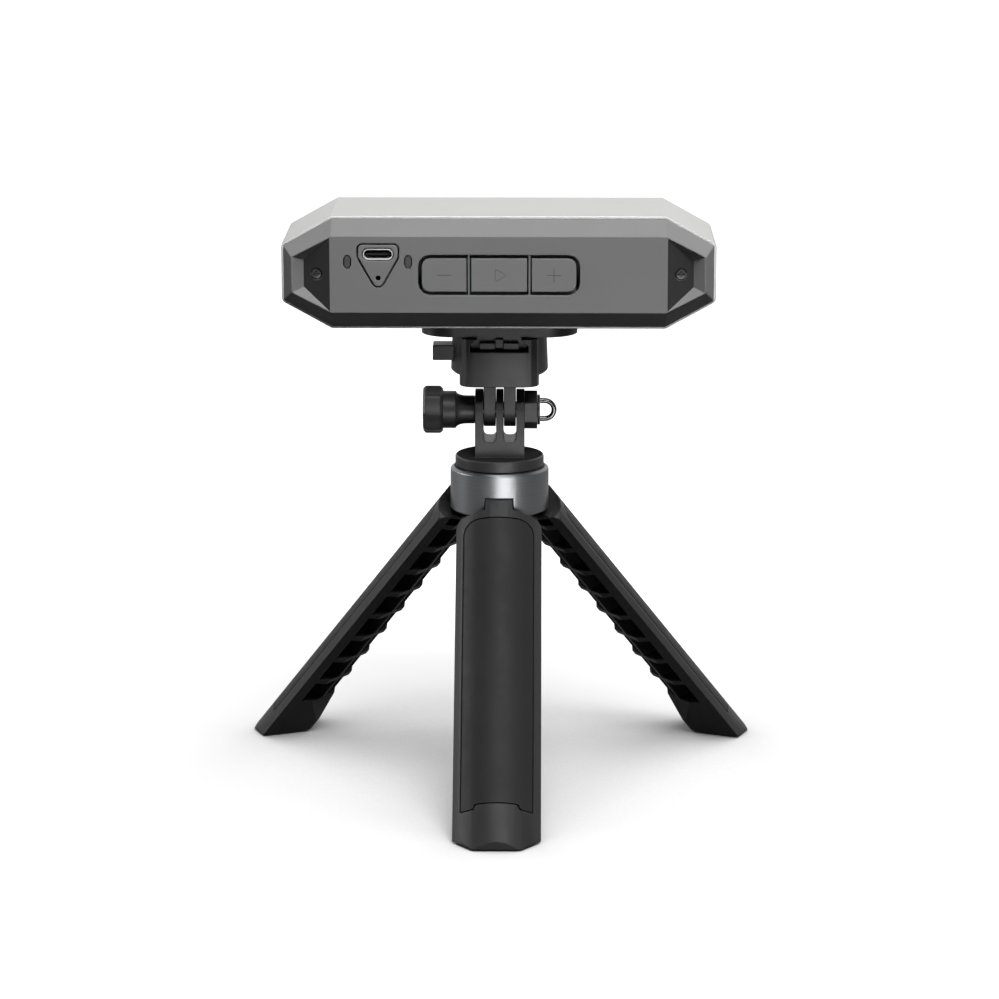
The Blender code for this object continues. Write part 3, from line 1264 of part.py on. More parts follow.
def clamp_knob(knob):
    """The lobed knob, with a collar, a neck that narrows in a curve and a blind bore for its screw."""
    bore = SCREW_RADIUS + GAP
    profile = [
        (KNOB_OUTER_END, 0.0),
        (KNOB_OUTER_END, lobed(KNOB_RADIUS - KNOB_EDGE)),
        (KNOB_OUTER_END + KNOB_EDGE, lobed(KNOB_RADIUS)),
        (KNOB_HEAD_END - KNOB_EDGE, lobed(KNOB_RADIUS)),
        (KNOB_HEAD_END, lobed(KNOB_RADIUS - KNOB_EDGE)),
        (KNOB_HEAD_END, KNOB_COLLAR_RADIUS),
        (KNOB_COLLAR_END, KNOB_COLLAR_RADIUS),
    ]
    for k in range(1, KNOB_CURVE_STEPS + 1):
        turn = math.pi / 2 * k / KNOB_CURVE_STEPS
        along = KNOB_COLLAR_END + KNOB_NECK_CURVE * (1 - math.cos(turn))
        fall = (KNOB_COLLAR_RADIUS - KNOB_NECK_RADIUS) * math.sin(turn)
        profile.append((along, KNOB_COLLAR_RADIUS - fall))
    profile += [
        (KNOB_INNER_END, KNOB_NECK_RADIUS),
        (KNOB_INNER_END, bore),
        (KNOB_OUTER_END + SCREW_SEAT, bore),
        (KNOB_OUTER_END + SCREW_SEAT, 0.0),
    ]
    seat(turned("clamp_knob", profile, "X", TILT_POINT, KNOB_STEPS), knob, "black_plastic")


def clamp_screw(knob):
    """The screw from inside the knob through the fork and the nut to the wire ring."""
    start = KNOB_OUTER_END + SCREW_SEAT + GAP
    end = WASHER_X + WASHER_THICKNESS
    seat(cylinder("clamp_screw", SCREW_RADIUS, "X", TILT_POINT, start, end, SMALL_STEPS), knob, "steel")
    washer = tube(
        "nut_washer", WASHER_RADIUS, SCREW_RADIUS + GAP, "X", TILT_POINT,
        WASHER_X, WASHER_X + WASHER_THICKNESS, ROUND_STEPS,
    )
    seat(washer, knob, "dark_steel")


def wire_ring(knob):
    """A bent wire loop whose two ends stand on the washer."""
    bend = WIRE_X + WIRE_LEG
    route = [(WIRE_X, -WIRE_LOOP_RADIUS)]
    for k in range(WIRE_STEPS + 1):
        turn = math.pi * k / WIRE_STEPS - math.pi / 2
        route.append((bend + WIRE_LOOP_RADIUS * math.cos(turn), WIRE_LOOP_RADIUS * math.sin(turn)))
    route.append((WIRE_X, WIRE_LOOP_RADIUS))
    rings = []
    for k, here in enumerate(route):
        before, after = route[max(k - 1, 0)], route[min(k + 1, len(route) - 1)]
        along = (Vector(after) - Vector(before)).normalized()
        ring = []
        for j in range(WIRE_SIDES):
            roll = 2 * math.pi * j / WIRE_SIDES
            aside = WIRE_RADIUS * math.cos(roll)
            point = (here[0] - along.y * aside, here[1] + along.x * aside)
            ring.append(Vector((point[0], WIRE_RADIUS * math.sin(roll), TILT_HEIGHT + point[1])))
        rings.append(ring)
    seat(solid("wire_ring", [(rings, False)]), knob, "dark_steel")


# Hub

def slot_radius():
    """The inner end of the core's leg slots."""
    return LEG_PIVOT_RADIUS - LUG_RADIUS - 2 * GAP


def sector_box(name, azimuth, near, far, width, low, high):
    """A box along a leg's direction, turned to its azimuth."""
    made = box(name, (near, -width / 2, low), (far, width / 2, high))
    made.data.transform(Matrix.Rotation(azimuth, 4, "Z"))
    return made


def hub_ring(base):
    """The metal ring round the hub, with a notch for each leg's tab."""
    inside = LEG_RADIUS - RING_WALL
    profile = [
        (RING_BOTTOM, inside),
        (RING_BOTTOM, LEG_RADIUS - RING_CHAMFER_BOTTOM),
        (RING_BOTTOM + RING_CHAMFER_BOTTOM, LEG_RADIUS),
        (RING_TOP - RING_CHAMFER_TOP, LEG_RADIUS),
        (RING_TOP, LEG_RADIUS - RING_CHAMFER_TOP),
        (RING_TOP, inside),
    ]
    ring = turned("hub_ring", profile, "Z", SWIVEL, FINE_STEPS, True)
    width = TAB_WIDTH + 2 * GAP
    bottom = RING_BOTTOM - OVERRUN
    top = HINGE_HEIGHT + NOTCH_RISE
    for azimuth in LEG_AZIMUTHS.values():
        cut(ring, sector_box("notch", azimuth, slot_radius(), LEG_RADIUS + OVERRUN, width, bottom, top))
    seat(ring, base, "gunmetal")


def hub_core(base):
    """The block inside the ring: three slots for the lugs, their pin holes and the stud's stepped bore."""
    radius = LEG_RADIUS - RING_WALL - GAP
    bottom = RING_BOTTOM + CORE_RECESS
    core = cylinder("hub_core", radius, "Z", SWIVEL, bottom, RING_TOP, FINE_STEPS)
    roof = HINGE_HEIGHT + LUG_RADIUS + CORE_SLOT_ROOF
    head_top = bottom + STUD_HEAD_HEIGHT + GAP
    head_room = STUD_HEAD_RADIUS + GAP
    cut(
        core,
        cylinder("bore", STUD_RADIUS + GAP, "Z", SWIVEL, bottom - OVERRUN, RING_TOP + OVERRUN, SMALL_STEPS),
        cylinder("counterbore", head_room, "Z", SWIVEL, bottom - OVERRUN, head_top, SMALL_STEPS),
    )
    for azimuth in LEG_AZIMUTHS.values():
        width = TAB_WIDTH + 2 * GAP
        cut(core, sector_box("slot", azimuth, slot_radius(), radius + OVERRUN, width, bottom - OVERRUN, roof))
        hole = cylinder(
            "pin_hole", PIN_RADIUS + GAP, "Y", (LEG_PIVOT_RADIUS, 0.0, HINGE_HEIGHT),
            -PIN_LENGTH / 2 - GAP, PIN_LENGTH / 2 + GAP, SMALL_STEPS,
        )
        hole.data.transform(Matrix.Rotation(azimuth, 4, "Z"))
        cut(core, hole)
    seat(core, base, "black_plastic")


def stud(base):
    """The screw that the adapter turns on, with its head in the core's counterbore."""
    low = RING_BOTTOM + CORE_RECESS
    shoulder = low + STUD_HEAD_HEIGHT
    end = DISC_BOTTOM + STUD_REACH
    profile = [
        (low, 0.0),
        (low, STUD_HEAD_RADIUS),
        (shoulder, STUD_HEAD_RADIUS),
        (shoulder, STUD_RADIUS),
        (end, STUD_RADIUS),
        (end, 0.0),
    ]
    seat(turned("stud", profile, "Z", SWIVEL, SMALL_STEPS), base, "steel")


def hinge_pins(base):
    """One pin across each leg slot."""
    for name, azimuth in LEG_AZIMUTHS.items():
        centre = (LEG_PIVOT_RADIUS, 0.0, HINGE_HEIGHT)
        half = PIN_LENGTH / 2
        pin = cylinder(name + "_hinge_pin", PIN_RADIUS, "Y", centre, -half, half, SMALL_STEPS)
        pin.data.transform(Matrix.Rotation(azimuth, 4, "Z"))
        seat(pin, base, "steel")


# Legs, modelled about their hinge: X points away from the hub and the folded leg hangs along -Z

def sector_outline(radius, side_gap, steps):
    """The leg's section: a third of a disc about the leg's own axis, with its sides set back."""
    half = LEG_SECTOR / 2
    apex = side_gap / math.sin(half)
    limit = half - math.asin(side_gap / radius)
    points = [(apex - LEG_PIVOT_RADIUS, 0.0)]
    for k in range(steps + 1):
        turn = -limit + 2 * limit * k / steps
        points.append((radius * math.cos(turn) - LEG_PIVOT_RADIUS, radius * math.sin(turn)))
    return points


def rib_pocket(upper, lower, side):
    """The space between two ribs on one side of the spine, with sloping floors."""
    inner_wall = LEG_RADIUS - LEG_WALL
    start = math.asin(LEG_SPINE / 2 / inner_wall)
    end = LEG_SECTOR / 2 + math.asin(OVERRUN / inner_wall)
    section = [(inner_wall * math.cos(start) - inner_wall, LEG_SPINE / 2)]
    for k in range(POCKET_ARC_STEPS + 1):
        turn = start + (end - start) * k / POCKET_ARC_STEPS
        section.append((inner_wall * math.cos(turn), inner_wall * math.sin(turn)))
    section.append((inner_wall * math.cos(end) - inner_wall, inner_wall * math.sin(end)))
    ring_high, ring_low = [], []
    for reach, across in section:
        rise = RIB_SLOPE_SHARE * (inner_wall - reach)
        ring_high.append(Vector((reach - LEG_PIVOT_RADIUS, side * across, rise - upper)))
        ring_low.append(Vector((reach - LEG_PIVOT_RADIUS, side * across, rise - lower)))
    return [ring_high, ring_low]


def leg_inner_cut():
    """What the leg lacks on its inner side: flat ribs' ends, a ramp and the foot's blunt heel."""
    floor = LEG_LENGTH + LEG_RADIUS
    inner = LEG_INNER_SETBACK - LEG_PIVOT_RADIUS
    heel = FOOT_HEEL_SETBACK - LEG_PIVOT_RADIUS
    side = [
        (-LEG_RADIUS, -floor),
        (heel, -floor),
        (heel, -FOOT_BLOCK_TOP - FOOT_RAMP),
        (inner, -FOOT_BLOCK_TOP),
        (inner, 0.0),
        (-LEG_RADIUS, 0.0),
    ]
    return prism("inner", side, "XZ", -LEG_RADIUS, LEG_RADIUS)


def scoop_radius():
    """The round room over the leg's top, about the hinge."""
    return math.hypot(LEG_RADIUS - LEG_PIVOT_RADIUS, RING_DROP) + GAP


def shoulder_cut(side):
    """What rounds the leg's top at one side."""
    limit = LEG_SECTOR / 2 - math.asin(GAP / 2 / LEG_RADIUS)
    across = LEG_RADIUS * math.sin(limit)
    reach = LEG_RADIUS * math.cos(limit) - LEG_PIVOT_RADIUS
    top = -math.sqrt(scoop_radius() ** 2 - reach ** 2)
    points = [(across + OVERRUN, top - LEG_SHOULDER), (across + OVERRUN, 0.0), (across - LEG_SHOULDER, 0.0)]
    for k in range(CORNER_STEPS + 1):
        turn = math.pi / 2 * (1 - k / CORNER_STEPS)
        y = across - LEG_SHOULDER + LEG_SHOULDER * math.cos(turn)
        points.append((y, top - LEG_SHOULDER + LEG_SHOULDER * math.sin(turn)))
    if side < 0:
        points = [(-y, z) for y, z in reversed(points)]
    return prism("shoulder", points, "YZ", -LEG_RADIUS, LEG_RADIUS)


def leg_tab():
    """The hinge tab: a round lug with a flat that stops on the notch's top when the leg is spread."""
    outer = LEG_RADIUS - LEG_PIVOT_RADIUS
    lean = LEG_SPREAD
    stop = NOTCH_RISE - GAP / 2
    arc_start = math.asin(stop / LUG_RADIUS) - lean
    arc_end = math.pi
    points = []
    for k in range(LUG_STEPS + 1):
        turn = arc_start + (arc_end - arc_start) * k / LUG_STEPS
        points.append((LUG_RADIUS * math.cos(turn), LUG_RADIUS * math.sin(turn)))
    top = RING_DROP + GAP
    points.append((-LUG_RADIUS, -top - TAB_ROOT))
    points.append((outer + OVERRUN, -top - TAB_ROOT))
    points.append((outer + OVERRUN, stop / math.cos(lean) - (outer + OVERRUN) * math.tan(lean)))
    tab = prism("tab", points, "XZ", -TAB_WIDTH / 2, TAB_WIDTH / 2)
    centre = (-LEG_PIVOT_RADIUS, 0.0, 0.0)
    low = -top - TAB_ROOT - OVERRUN
    return trim(tab, cylinder("round", LEG_RADIUS, "Z", centre, low, outer, FINE_STEPS))


def inlay_outline(inwards):
    """The inlay's outline across and down the leg, with a step in its lower edge."""
    half = INLAY_WIDTH / 2 - inwards
    notch = INLAY_NOTCH_WIDTH / 2 + inwards
    top = -INLAY_TOP - inwards
    bottom = -INLAY_BOTTOM + inwards
    step = bottom + INLAY_NOTCH_HEIGHT
    points = [
        (half, bottom), (half, top), (-half, top), (-half, bottom),
        (-notch, bottom), (-notch, step), (notch, step), (notch, bottom),
    ]
    corner = INLAY_CORNER - inwards
    inner, outer = INLAY_NOTCH_CORNER + inwards, INLAY_NOTCH_CORNER - inwards
    return rounded(points, [outer, corner, corner, outer, inner, outer, outer, inner], CORNER_STEPS)


def inlay_block(name, inwards, inner, outer):
    """A curved panel on the leg's outer face between two radii."""
    centre = (-LEG_PIVOT_RADIUS, 0.0, 0.0)
    outline = inlay_outline(inwards)
    block = prism(name, outline, "YZ", -LEG_PIVOT_RADIUS + LEG_INNER_SETBACK, LEG_RADIUS)
    low, high = -INLAY_BOTTOM - OVERRUN, -INLAY_TOP + OVERRUN
    return trim(block, tube("band", outer, inner, "Z", centre, low, high, FINE_STEPS))


def spread(target):
    """Swings a leg's piece from folded to spread, about the hinge."""
    target.data.transform(Matrix.Rotation(-LEG_SPREAD, 4, "Y"))
    return target


def foot_start(level):
    """Where the foot's two sides would meet at a level above the floor, and the slope of each, in plan."""
    slope = math.atan(math.tan(LEG_SECTOR / 2) * math.cos(LEG_SPREAD))
    drop = HINGE_HEIGHT - level - LEG_PIVOT_RADIUS * math.sin(LEG_SPREAD)
    setback = GAP / 2 / math.sin(LEG_SECTOR / 2) / math.cos(LEG_SPREAD)
    return drop * math.tan(LEG_SPREAD) - LEG_PIVOT_RADIUS * math.cos(LEG_SPREAD) + setback, slope


def toe_outline():
    """The toe's right half in plan, from the hinge: its side's end and its front corner."""
    side = Vector((FOOT_SIDE_RADIUS - LEG_PIVOT_RADIUS, FOOT_SIDE_WIDTH / 2))
    front = Vector((FOOT_TIP_RADIUS - LEG_PIVOT_RADIUS, FOOT_TOE_WIDTH / 2))
    return side, front


def foot_corner(level):
    """Where the foot's side meets the toe's slanted side at a level above the floor."""
    start, slope = foot_start(level)
    side, front = toe_outline()
    along = front - side
    rise = math.tan(slope)
    share = ((side.x - start) * rise - side.y) / (along.y - along.x * rise)
    return side + along * share


def foot_outline(inwards):
    """The foot's print moved inwards: a blunt heel, two sides and a toe with slanted corners."""
    start, slope = foot_start(0.0)
    corner = foot_corner(0.0)
    front = toe_outline()[1]
    heel = start + PAD_HEEL_SETBACK
    half = PAD_HEEL_SETBACK * math.tan(slope)
    right = [(heel, half), tuple(corner), tuple(front)]
    return inset([(x, -y) for x, y in right] + right[::-1], inwards)


def leg_solid():
    """The ribbed leg, spread: outer wall, spine, sloping ribs, foot block, hinge tab and inlay recess."""
    top = RING_DROP + GAP
    length = (HINGE_HEIGHT + LEG_RADIUS) / math.cos(LEG_SPREAD)
    leg = prism("leg", sector_outline(LEG_RADIUS, GAP / 2, LEG_ARC_STEPS), "XY", -length, -top)
    width = LEG_RADIUS + OVERRUN
    cut(leg, cylinder("scoop", scoop_radius(), "Y", HINGE, -width, width, ROUND_STEPS))
    for side in (-1, 1):
        cut(leg, shoulder_cut(side))
    join(leg, leg_tab())
    cut(leg, leg_inner_cut())
    pockets = []
    for k in range(RIB_COUNT + 1):
        upper = RIB_FIRST + (k - 1) * RIB_PITCH + RIB_THICKNESS
        lower = RIB_FIRST + k * RIB_PITCH
        if k == 0:
            upper = top + LEG_TOP_BLOCK
        for side in (-1, 1):
            pockets.append((rib_pocket(upper, lower, side), False))
    cut(leg, solid("pockets", pockets))
    recess = LEG_RADIUS - INLAY_THICKNESS - GAP
    cut(leg, inlay_block("recess", 0.0, recess, LEG_RADIUS + OVERRUN))
    pin_room = PIN_RADIUS + GAP
    cut(leg, cylinder("pin_bore", pin_room, "Y", HINGE, -TAB_WIDTH, TAB_WIDTH, SMALL_STEPS))
    spread(leg)
    side, front = toe_outline()
    right = [(-LEG_RADIUS, side.y), tuple(side), tuple(front)]
    keep = [(x, -y) for x, y in right] + right[::-1]
    trim(leg, prism("keep", keep, "XY", SOLE_HEIGHT - HINGE_HEIGHT, LEG_RADIUS))
    recess_top = PAD_THICKNESS + GAP - HINGE_HEIGHT
    pad_room = foot_outline(PAD_INSET - GAP)
    cut(leg, prism("pad_room", pad_room, "XY", -HINGE_HEIGHT - OVERRUN, recess_top))
    return leg


def legs(pivots):
    """Three legs, each with its inlay and its sole pad."""
    leg = tidy(leg_solid())
    inlay = spread(inlay_block("inlay", GAP, LEG_RADIUS - INLAY_THICKNESS, LEG_RADIUS))
    pad = prism("pad", foot_outline(PAD_INSET), "XY", -HINGE_HEIGHT, PAD_THICKNESS - HINGE_HEIGHT)
    kinds = (("leg", leg, "leg_black"), ("leg_inlay", inlay, "inlay_rubber"), ("foot_pad", pad, "pad_rubber"))
    for kind, master, slot in kinds:
        for side, carrier in pivots.items():
            copy = bpy.data.objects.new(side + "_" + kind, master.data.copy())
            bpy.context.scene.collection.objects.link(copy)
            seat(copy, carrier, slot, local=True)
        bpy.data.objects.remove(master)


def rear_middle():
    """How far the swivel axis lies behind the middle of the footprint."""
    corner = foot_corner(SOLE_HEIGHT)
    azimuth = LEG_AZIMUTHS["right"]
    rear = (corner.x + LEG_PIVOT_RADIUS) * math.sin(azimuth) + corner.y * math.cos(azimuth)
    return (FOOT_TIP_RADIUS - rear) / 2


def main():
    for old in list(bpy.data.objects):
        bpy.data.objects.remove(old)
    base = pivot("base", None, SWIVEL)
    adapter = pivot("adapter", base, Vector((0.0, 0.0, DISC_BOTTOM)))
    knob = pivot("knob", adapter, TILT_POINT)
    head = pivot("head", adapter, TILT_POINT)
    release_point = Vector((-CLAMP_ROUND_TOP_RADIUS, 0.0, BUTTON_BOTTOM + BAR_HEIGHT / 2))
    release = pivot("release", head, release_point)
    key_pivots = {}
    for name, (left, right) in key_spans().items():
        place = Vector(((left + right) / 2, COVER_FACE, SHELL_MIDDLE - KEYS_DROP))
        key_pivots[name] = pivot(name + "_key", head, place)
    leg_pivots = {}
    for name, azimuth in LEG_AZIMUTHS.items():
        place = Matrix.Rotation(azimuth, 4, "Z") @ Vector((LEG_PIVOT_RADIUS, 0.0, HINGE_HEIGHT))
        leg_pivots[name] = pivot(name + "_hinge", base, place, azimuth)

    front_shell(head)
    rear_cover(head)
    cover_screws(head)
    port_pieces(head)
    light_pipes(head)
    keys(head, key_pivots)
    main_board(head)
    optical_bench(head)
    barrels(head)
    fill_lamps(head)
    front_window(head)
    mounting_plate(head)
    plate_screw_and_insert(head)
    clamp_body(head)
    release_button(release)
    release_spring(head)
    fork_adapter(adapter)
    clamp_knob(knob)
    clamp_screw(knob)
    wire_ring(knob)
    hub_ring(base)
    hub_core(base)
    stud(base)
    hinge_pins(base)
    legs(leg_pivots)
    base.location.y = rear_middle()


main()
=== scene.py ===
"""Looks for a handheld scanner on a folding mini tripod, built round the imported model.

Lengths are in metres. X runs to the right, Z up, and the camera stands on the side of negative Y.
"""

import json
import math

import bmesh
import bpy
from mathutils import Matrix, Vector


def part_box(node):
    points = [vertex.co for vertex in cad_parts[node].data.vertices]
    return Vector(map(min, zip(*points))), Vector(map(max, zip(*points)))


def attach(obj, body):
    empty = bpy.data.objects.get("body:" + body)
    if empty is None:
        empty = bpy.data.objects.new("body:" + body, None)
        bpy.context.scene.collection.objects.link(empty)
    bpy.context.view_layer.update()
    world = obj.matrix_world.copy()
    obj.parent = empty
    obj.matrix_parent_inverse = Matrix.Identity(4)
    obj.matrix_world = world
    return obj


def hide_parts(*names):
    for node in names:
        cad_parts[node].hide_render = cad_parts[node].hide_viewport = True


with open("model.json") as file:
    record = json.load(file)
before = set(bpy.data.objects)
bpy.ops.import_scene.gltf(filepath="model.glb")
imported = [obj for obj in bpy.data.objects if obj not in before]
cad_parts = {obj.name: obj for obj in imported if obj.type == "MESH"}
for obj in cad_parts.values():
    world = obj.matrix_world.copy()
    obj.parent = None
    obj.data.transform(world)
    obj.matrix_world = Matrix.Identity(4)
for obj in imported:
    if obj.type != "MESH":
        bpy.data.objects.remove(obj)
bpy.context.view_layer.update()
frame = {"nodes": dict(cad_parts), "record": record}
NODES = frame["nodes"]
BODY_OF = {node: body for body, nodes in frame["record"]["behaviour"]["bodies"].items() for node in nodes}
SLOT_OF = {entry["node"]: entry["material_slot"] for entry in frame["record"]["subparts"]}
MM = 0.001
STUD_LOW, STUD_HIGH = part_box("stud")
SWIVEL_Y = (STUD_LOW.y + STUD_HIGH.y) / 2


# Materials

NOISE_ROUGHNESS = 0.6
NOISE_MIDDLE = (0.35, 0.65)  # where most of a noise texture's values lie
DRIFT_SCALE = 45.0  # per metre, for tone
GLOSS_SCALE = 210.0  # per metre, for roughness
RELIEF_DEPTH = 0.02 * MM
SOFT_EDGE_SAMPLES = 6
BRUSHED_TONES = (0.93, 1.06)  # darkest and lightest share of the colour


def new_material(name):
    """A new material with its shader and coordinates in metres on the piece."""
    material = bpy.data.materials.new(name)
    material.use_nodes = True
    tree = material.node_tree
    shader = tree.nodes["Principled BSDF"]
    place = tree.nodes.new("ShaderNodeTexCoord")
    return material, tree, shader, place.outputs["Object"]


def noise(tree, place, scale, detail):
    """A noise texture's value at a scale per metre."""
    node = tree.nodes.new("ShaderNodeTexNoise")
    node.inputs["Scale"].default_value = scale
    node.inputs["Detail"].default_value = detail
    node.inputs["Roughness"].default_value = NOISE_ROUGHNESS
    tree.links.new(place, node.inputs["Vector"])
    return node.outputs["Fac"]


def spread(tree, value, low, high, between=NOISE_MIDDLE, smooth=False):
    """A value mapped from a range onto another."""
    node = tree.nodes.new("ShaderNodeMapRange")
    if smooth:
        node.interpolation_type = "SMOOTHSTEP"
    node.inputs["From Min"].default_value, node.inputs["From Max"].default_value = between
    node.inputs["To Min"].default_value = low
    node.inputs["To Max"].default_value = high
    tree.links.new(value, node.inputs["Value"])
    return node.outputs["Result"]


def tint(tree, value, colour, darker, lighter):
    """A colour that a value from 0 to 1 moves between two multiples of itself."""
    node = tree.nodes.new("ShaderNodeMix")
    node.data_type = "RGBA"
    node.inputs["A"].default_value = (*(c * darker for c in colour), 1.0)
    node.inputs["B"].default_value = (*(min(1.0, c * lighter) for c in colour), 1.0)
    tree.links.new(value, node.inputs["Factor"])
    return node.outputs["Result"]


def bump(tree, shader, height, strength, soft=0.0):
    """Fine relief from a height value, over edges softened by a radius in millimetres."""
    node = tree.nodes.new("ShaderNodeBump")
    if soft:
        edges = tree.nodes.new("ShaderNodeBevel")
        edges.samples = SOFT_EDGE_SAMPLES
        edges.inputs["Radius"].default_value = soft * MM
        tree.links.new(edges.outputs["Normal"], node.inputs["Normal"])
    node.inputs["Strength"].default_value = strength
    node.inputs["Distance"].default_value = RELIEF_DEPTH
    tree.links.new(height, node.inputs["Height"])
    tree.links.new(node.outputs["Normal"], shader.inputs["Normal"])


def moulded(name, colour, roughness, grain, relief, specular, vary, uneven=0.05, soft=0.0, metallic=0.0,
            coat=0.0):
    """Plastic, rubber or paint with a fine grain, slight tone drift and uneven gloss."""
    material, tree, shader, place = new_material(name)
    drift = spread(tree, noise(tree, place, DRIFT_SCALE, detail=4.0), 0.0, 1.0)
    tree.links.new(tint(tree, drift, colour, 1 - vary, 1 + vary), shader.inputs["Base Color"])
    gloss = noise(tree, place, GLOSS_SCALE, detail=5.0)
    tree.links.new(spread(tree, gloss, roughness - uneven, roughness + uneven), shader.inputs["Roughness"])
    shader.inputs["Specular IOR Level"].default_value = specular
    shader.inputs["Metallic"].default_value = metallic
    shader.inputs["Coat Weight"].default_value = coat
    bump(tree, shader, noise(tree, place, grain, detail=2.0), relief, soft)
    return material


def brushed(name, colour, roughness, stretch, relief=0.15, uneven=0.05):
    """Turned or drawn metal, with lines as fine as the stretch along each axis says."""
    material, tree, shader, place = new_material(name)
    mapping = tree.nodes.new("ShaderNodeMapping")
    mapping.inputs["Scale"].default_value = stretch
    tree.links.new(place, mapping.inputs["Vector"])
    lines = noise(tree, mapping.outputs["Vector"], scale=1.0, detail=3.0)
    tone = tint(tree, spread(tree, lines, 0.0, 1.0), colour, *BRUSHED_TONES)
    tree.links.new(tone, shader.inputs["Base Color"])
    tree.links.new(spread(tree, lines, roughness - uneven, roughness + uneven), shader.inputs["Roughness"])
    shader.inputs["Metallic"].default_value = 1.0
    bump(tree, shader, lines, relief)
    return material


def glass(name, colour, roughness, grain, relief, ior, coat, coat_tint):
    """A coated lens's dark glass."""
    material, tree, shader, place = new_material(name)
    shader.inputs["Base Color"].default_value = (*colour, 1.0)
    shader.inputs["Roughness"].default_value = roughness
    shader.inputs["Coat Weight"].default_value = coat
    shader.inputs["Coat Tint"].default_value = (*coat_tint, 1.0)
    shader.inputs["IOR"].default_value = ior
    bump(tree, shader, noise(tree, place, grain, detail=1.0), relief)
    return material


LOOKS = {
    "shell_silver": moulded("shell_silver_look", (0.46, 0.456, 0.45), roughness=0.30, grain=900.0,
                            relief=0.0005, specular=0.5, vary=0.012, uneven=0.006),
    "cover_grey": moulded("cover_grey_look", (0.262, 0.262, 0.262), roughness=0.44, grain=2400.0,
                          relief=0.06, specular=0.12, vary=0.02, uneven=0.02, soft=0.4),
    "key_grey": moulded("key_grey_look", (0.270, 0.270, 0.270), roughness=0.45, grain=2800.0,
                        relief=0.06, specular=0.12, vary=0.02, uneven=0.02),
    "black_plastic": moulded("black_plastic_look", (0.046, 0.046, 0.047), roughness=0.42, grain=3000.0,
                             relief=0.1, specular=0.28, vary=0.05, uneven=0.03, soft=0.2),
    "leg_black": moulded("leg_black_look", (0.034, 0.034, 0.035), roughness=0.44, grain=2600.0,
                         relief=0.1, specular=0.14, vary=0.05, uneven=0.03, soft=0.3),
    "inlay_rubber": moulded("inlay_rubber_look", (0.026, 0.026, 0.027), roughness=0.5, grain=5200.0,
                            relief=0.3, specular=0.1, vary=0.08),
    "pad_rubber": moulded("pad_rubber_look", (0.11, 0.11, 0.11), roughness=0.8, grain=2400.0,
                          relief=0.5, specular=0.2, vary=0.08),
    "gunmetal": brushed("gunmetal_look", (0.19, 0.195, 0.20), roughness=0.36,
                        stretch=(30.0, 30.0, 6000.0), relief=0.015, uneven=0.012),
    "steel": brushed("steel_look", (0.80, 0.80, 0.81), roughness=0.25, stretch=(900.0, 900.0, 900.0)),
    "dark_steel": brushed("dark_steel_look", (0.13, 0.13, 0.135), roughness=0.2,
                          stretch=(700.0, 700.0, 700.0), relief=0.05, uneven=0.03),
    "brass": brushed("brass_look", (0.72, 0.52, 0.24), roughness=0.3, stretch=(900.0, 900.0, 5000.0)),
    "aluminium": brushed("aluminium_look", (0.55, 0.56, 0.57), roughness=0.42,
                         stretch=(2200.0, 2200.0, 2200.0), relief=0.3),
    "board_green": moulded("board_green_look", (0.012, 0.10, 0.05), roughness=0.4, grain=1800.0,
                           relief=0.3, specular=0.5, vary=0.1),
    "lens_glass": glass("lens_glass_look", (0.008, 0.010, 0.022), roughness=0.04, grain=60.0,
                        relief=0.02, ior=1.6, coat=0.6, coat_tint=(0.55, 0.6, 1.0)),
    "window_black": moulded("window_black_look", (0.006, 0.006, 0.0075), roughness=0.09, grain=900.0,
                            relief=0.02, specular=0.5, vary=0.05, coat=0.4),
    "lamp_white": moulded("lamp_white_look", (0.80, 0.80, 0.76), roughness=0.3, grain=1500.0,
                          relief=0.1, specular=0.5, vary=0.02),
    "pipe_smoke": moulded("pipe_smoke_look", (0.085, 0.085, 0.085), roughness=0.5, grain=2500.0,
                          relief=0.1, specular=0.3, vary=0.04),
    "tongue_black": moulded("tongue_black_look", (0.012, 0.012, 0.012), roughness=0.6, grain=2500.0,
                            relief=0.2, specular=0.2, vary=0.04),
}
# Near white on the silver shell's rear rim: a painted highlight where the edge catches the light.
RIM_HIGHLIGHT_LOOK = moulded("rim_painted_highlight", (0.93, 0.93, 0.92), roughness=0.28, grain=1800.0, relief=0.01,
                   specular=0.8, vary=0.01)
# Near white on the steel USB socket: a painted reflection that keeps its rim and inside bright like
# polished metal.
SOCKET_GLINT_LOOK = moulded("socket_painted_glint", (0.95, 0.95, 0.95), roughness=0.35, grain=1500.0, relief=0.02,
                      specular=0.8, vary=0.01, metallic=0.1)
# Darker than the cover: painted shade on the floors of the two screw pockets.
POCKET_SHADE_LOOK = moulded("pocket_painted_shade", (0.036, 0.036, 0.036), roughness=0.5, grain=2400.0, relief=0.1,
                      specular=0.25, vary=0.04, uneven=0.02)
# Darker than the black plastic: painted shadow on the swivel disc's upper face, where the scanner body
# shades it.
DISC_SHADOW_LOOK = moulded("disc_painted_shadow", (0.024, 0.024, 0.025), roughness=0.75, grain=2600.0, relief=0.1,
                    specular=0.0, vary=0.05)
SCREW_LOOK = moulded("cover_screw_look", (0.045, 0.045, 0.046), roughness=0.42, grain=1500.0, relief=0.1,
                     specular=0.5, vary=0.05)
SIGN_LOOK = moulded("sign_look", (0.15, 0.15, 0.15), roughness=0.6, grain=2000.0, relief=0.1,
                    specular=0.1, vary=0.03)
NODE_LOOKS = {  # where a node's look isn't its slot's
    "nut_washer": LOOKS["black_plastic"],
    "clamp_screw": LOOKS["dark_steel"],
    "usb_shell": SOCKET_GLINT_LOOK,
}


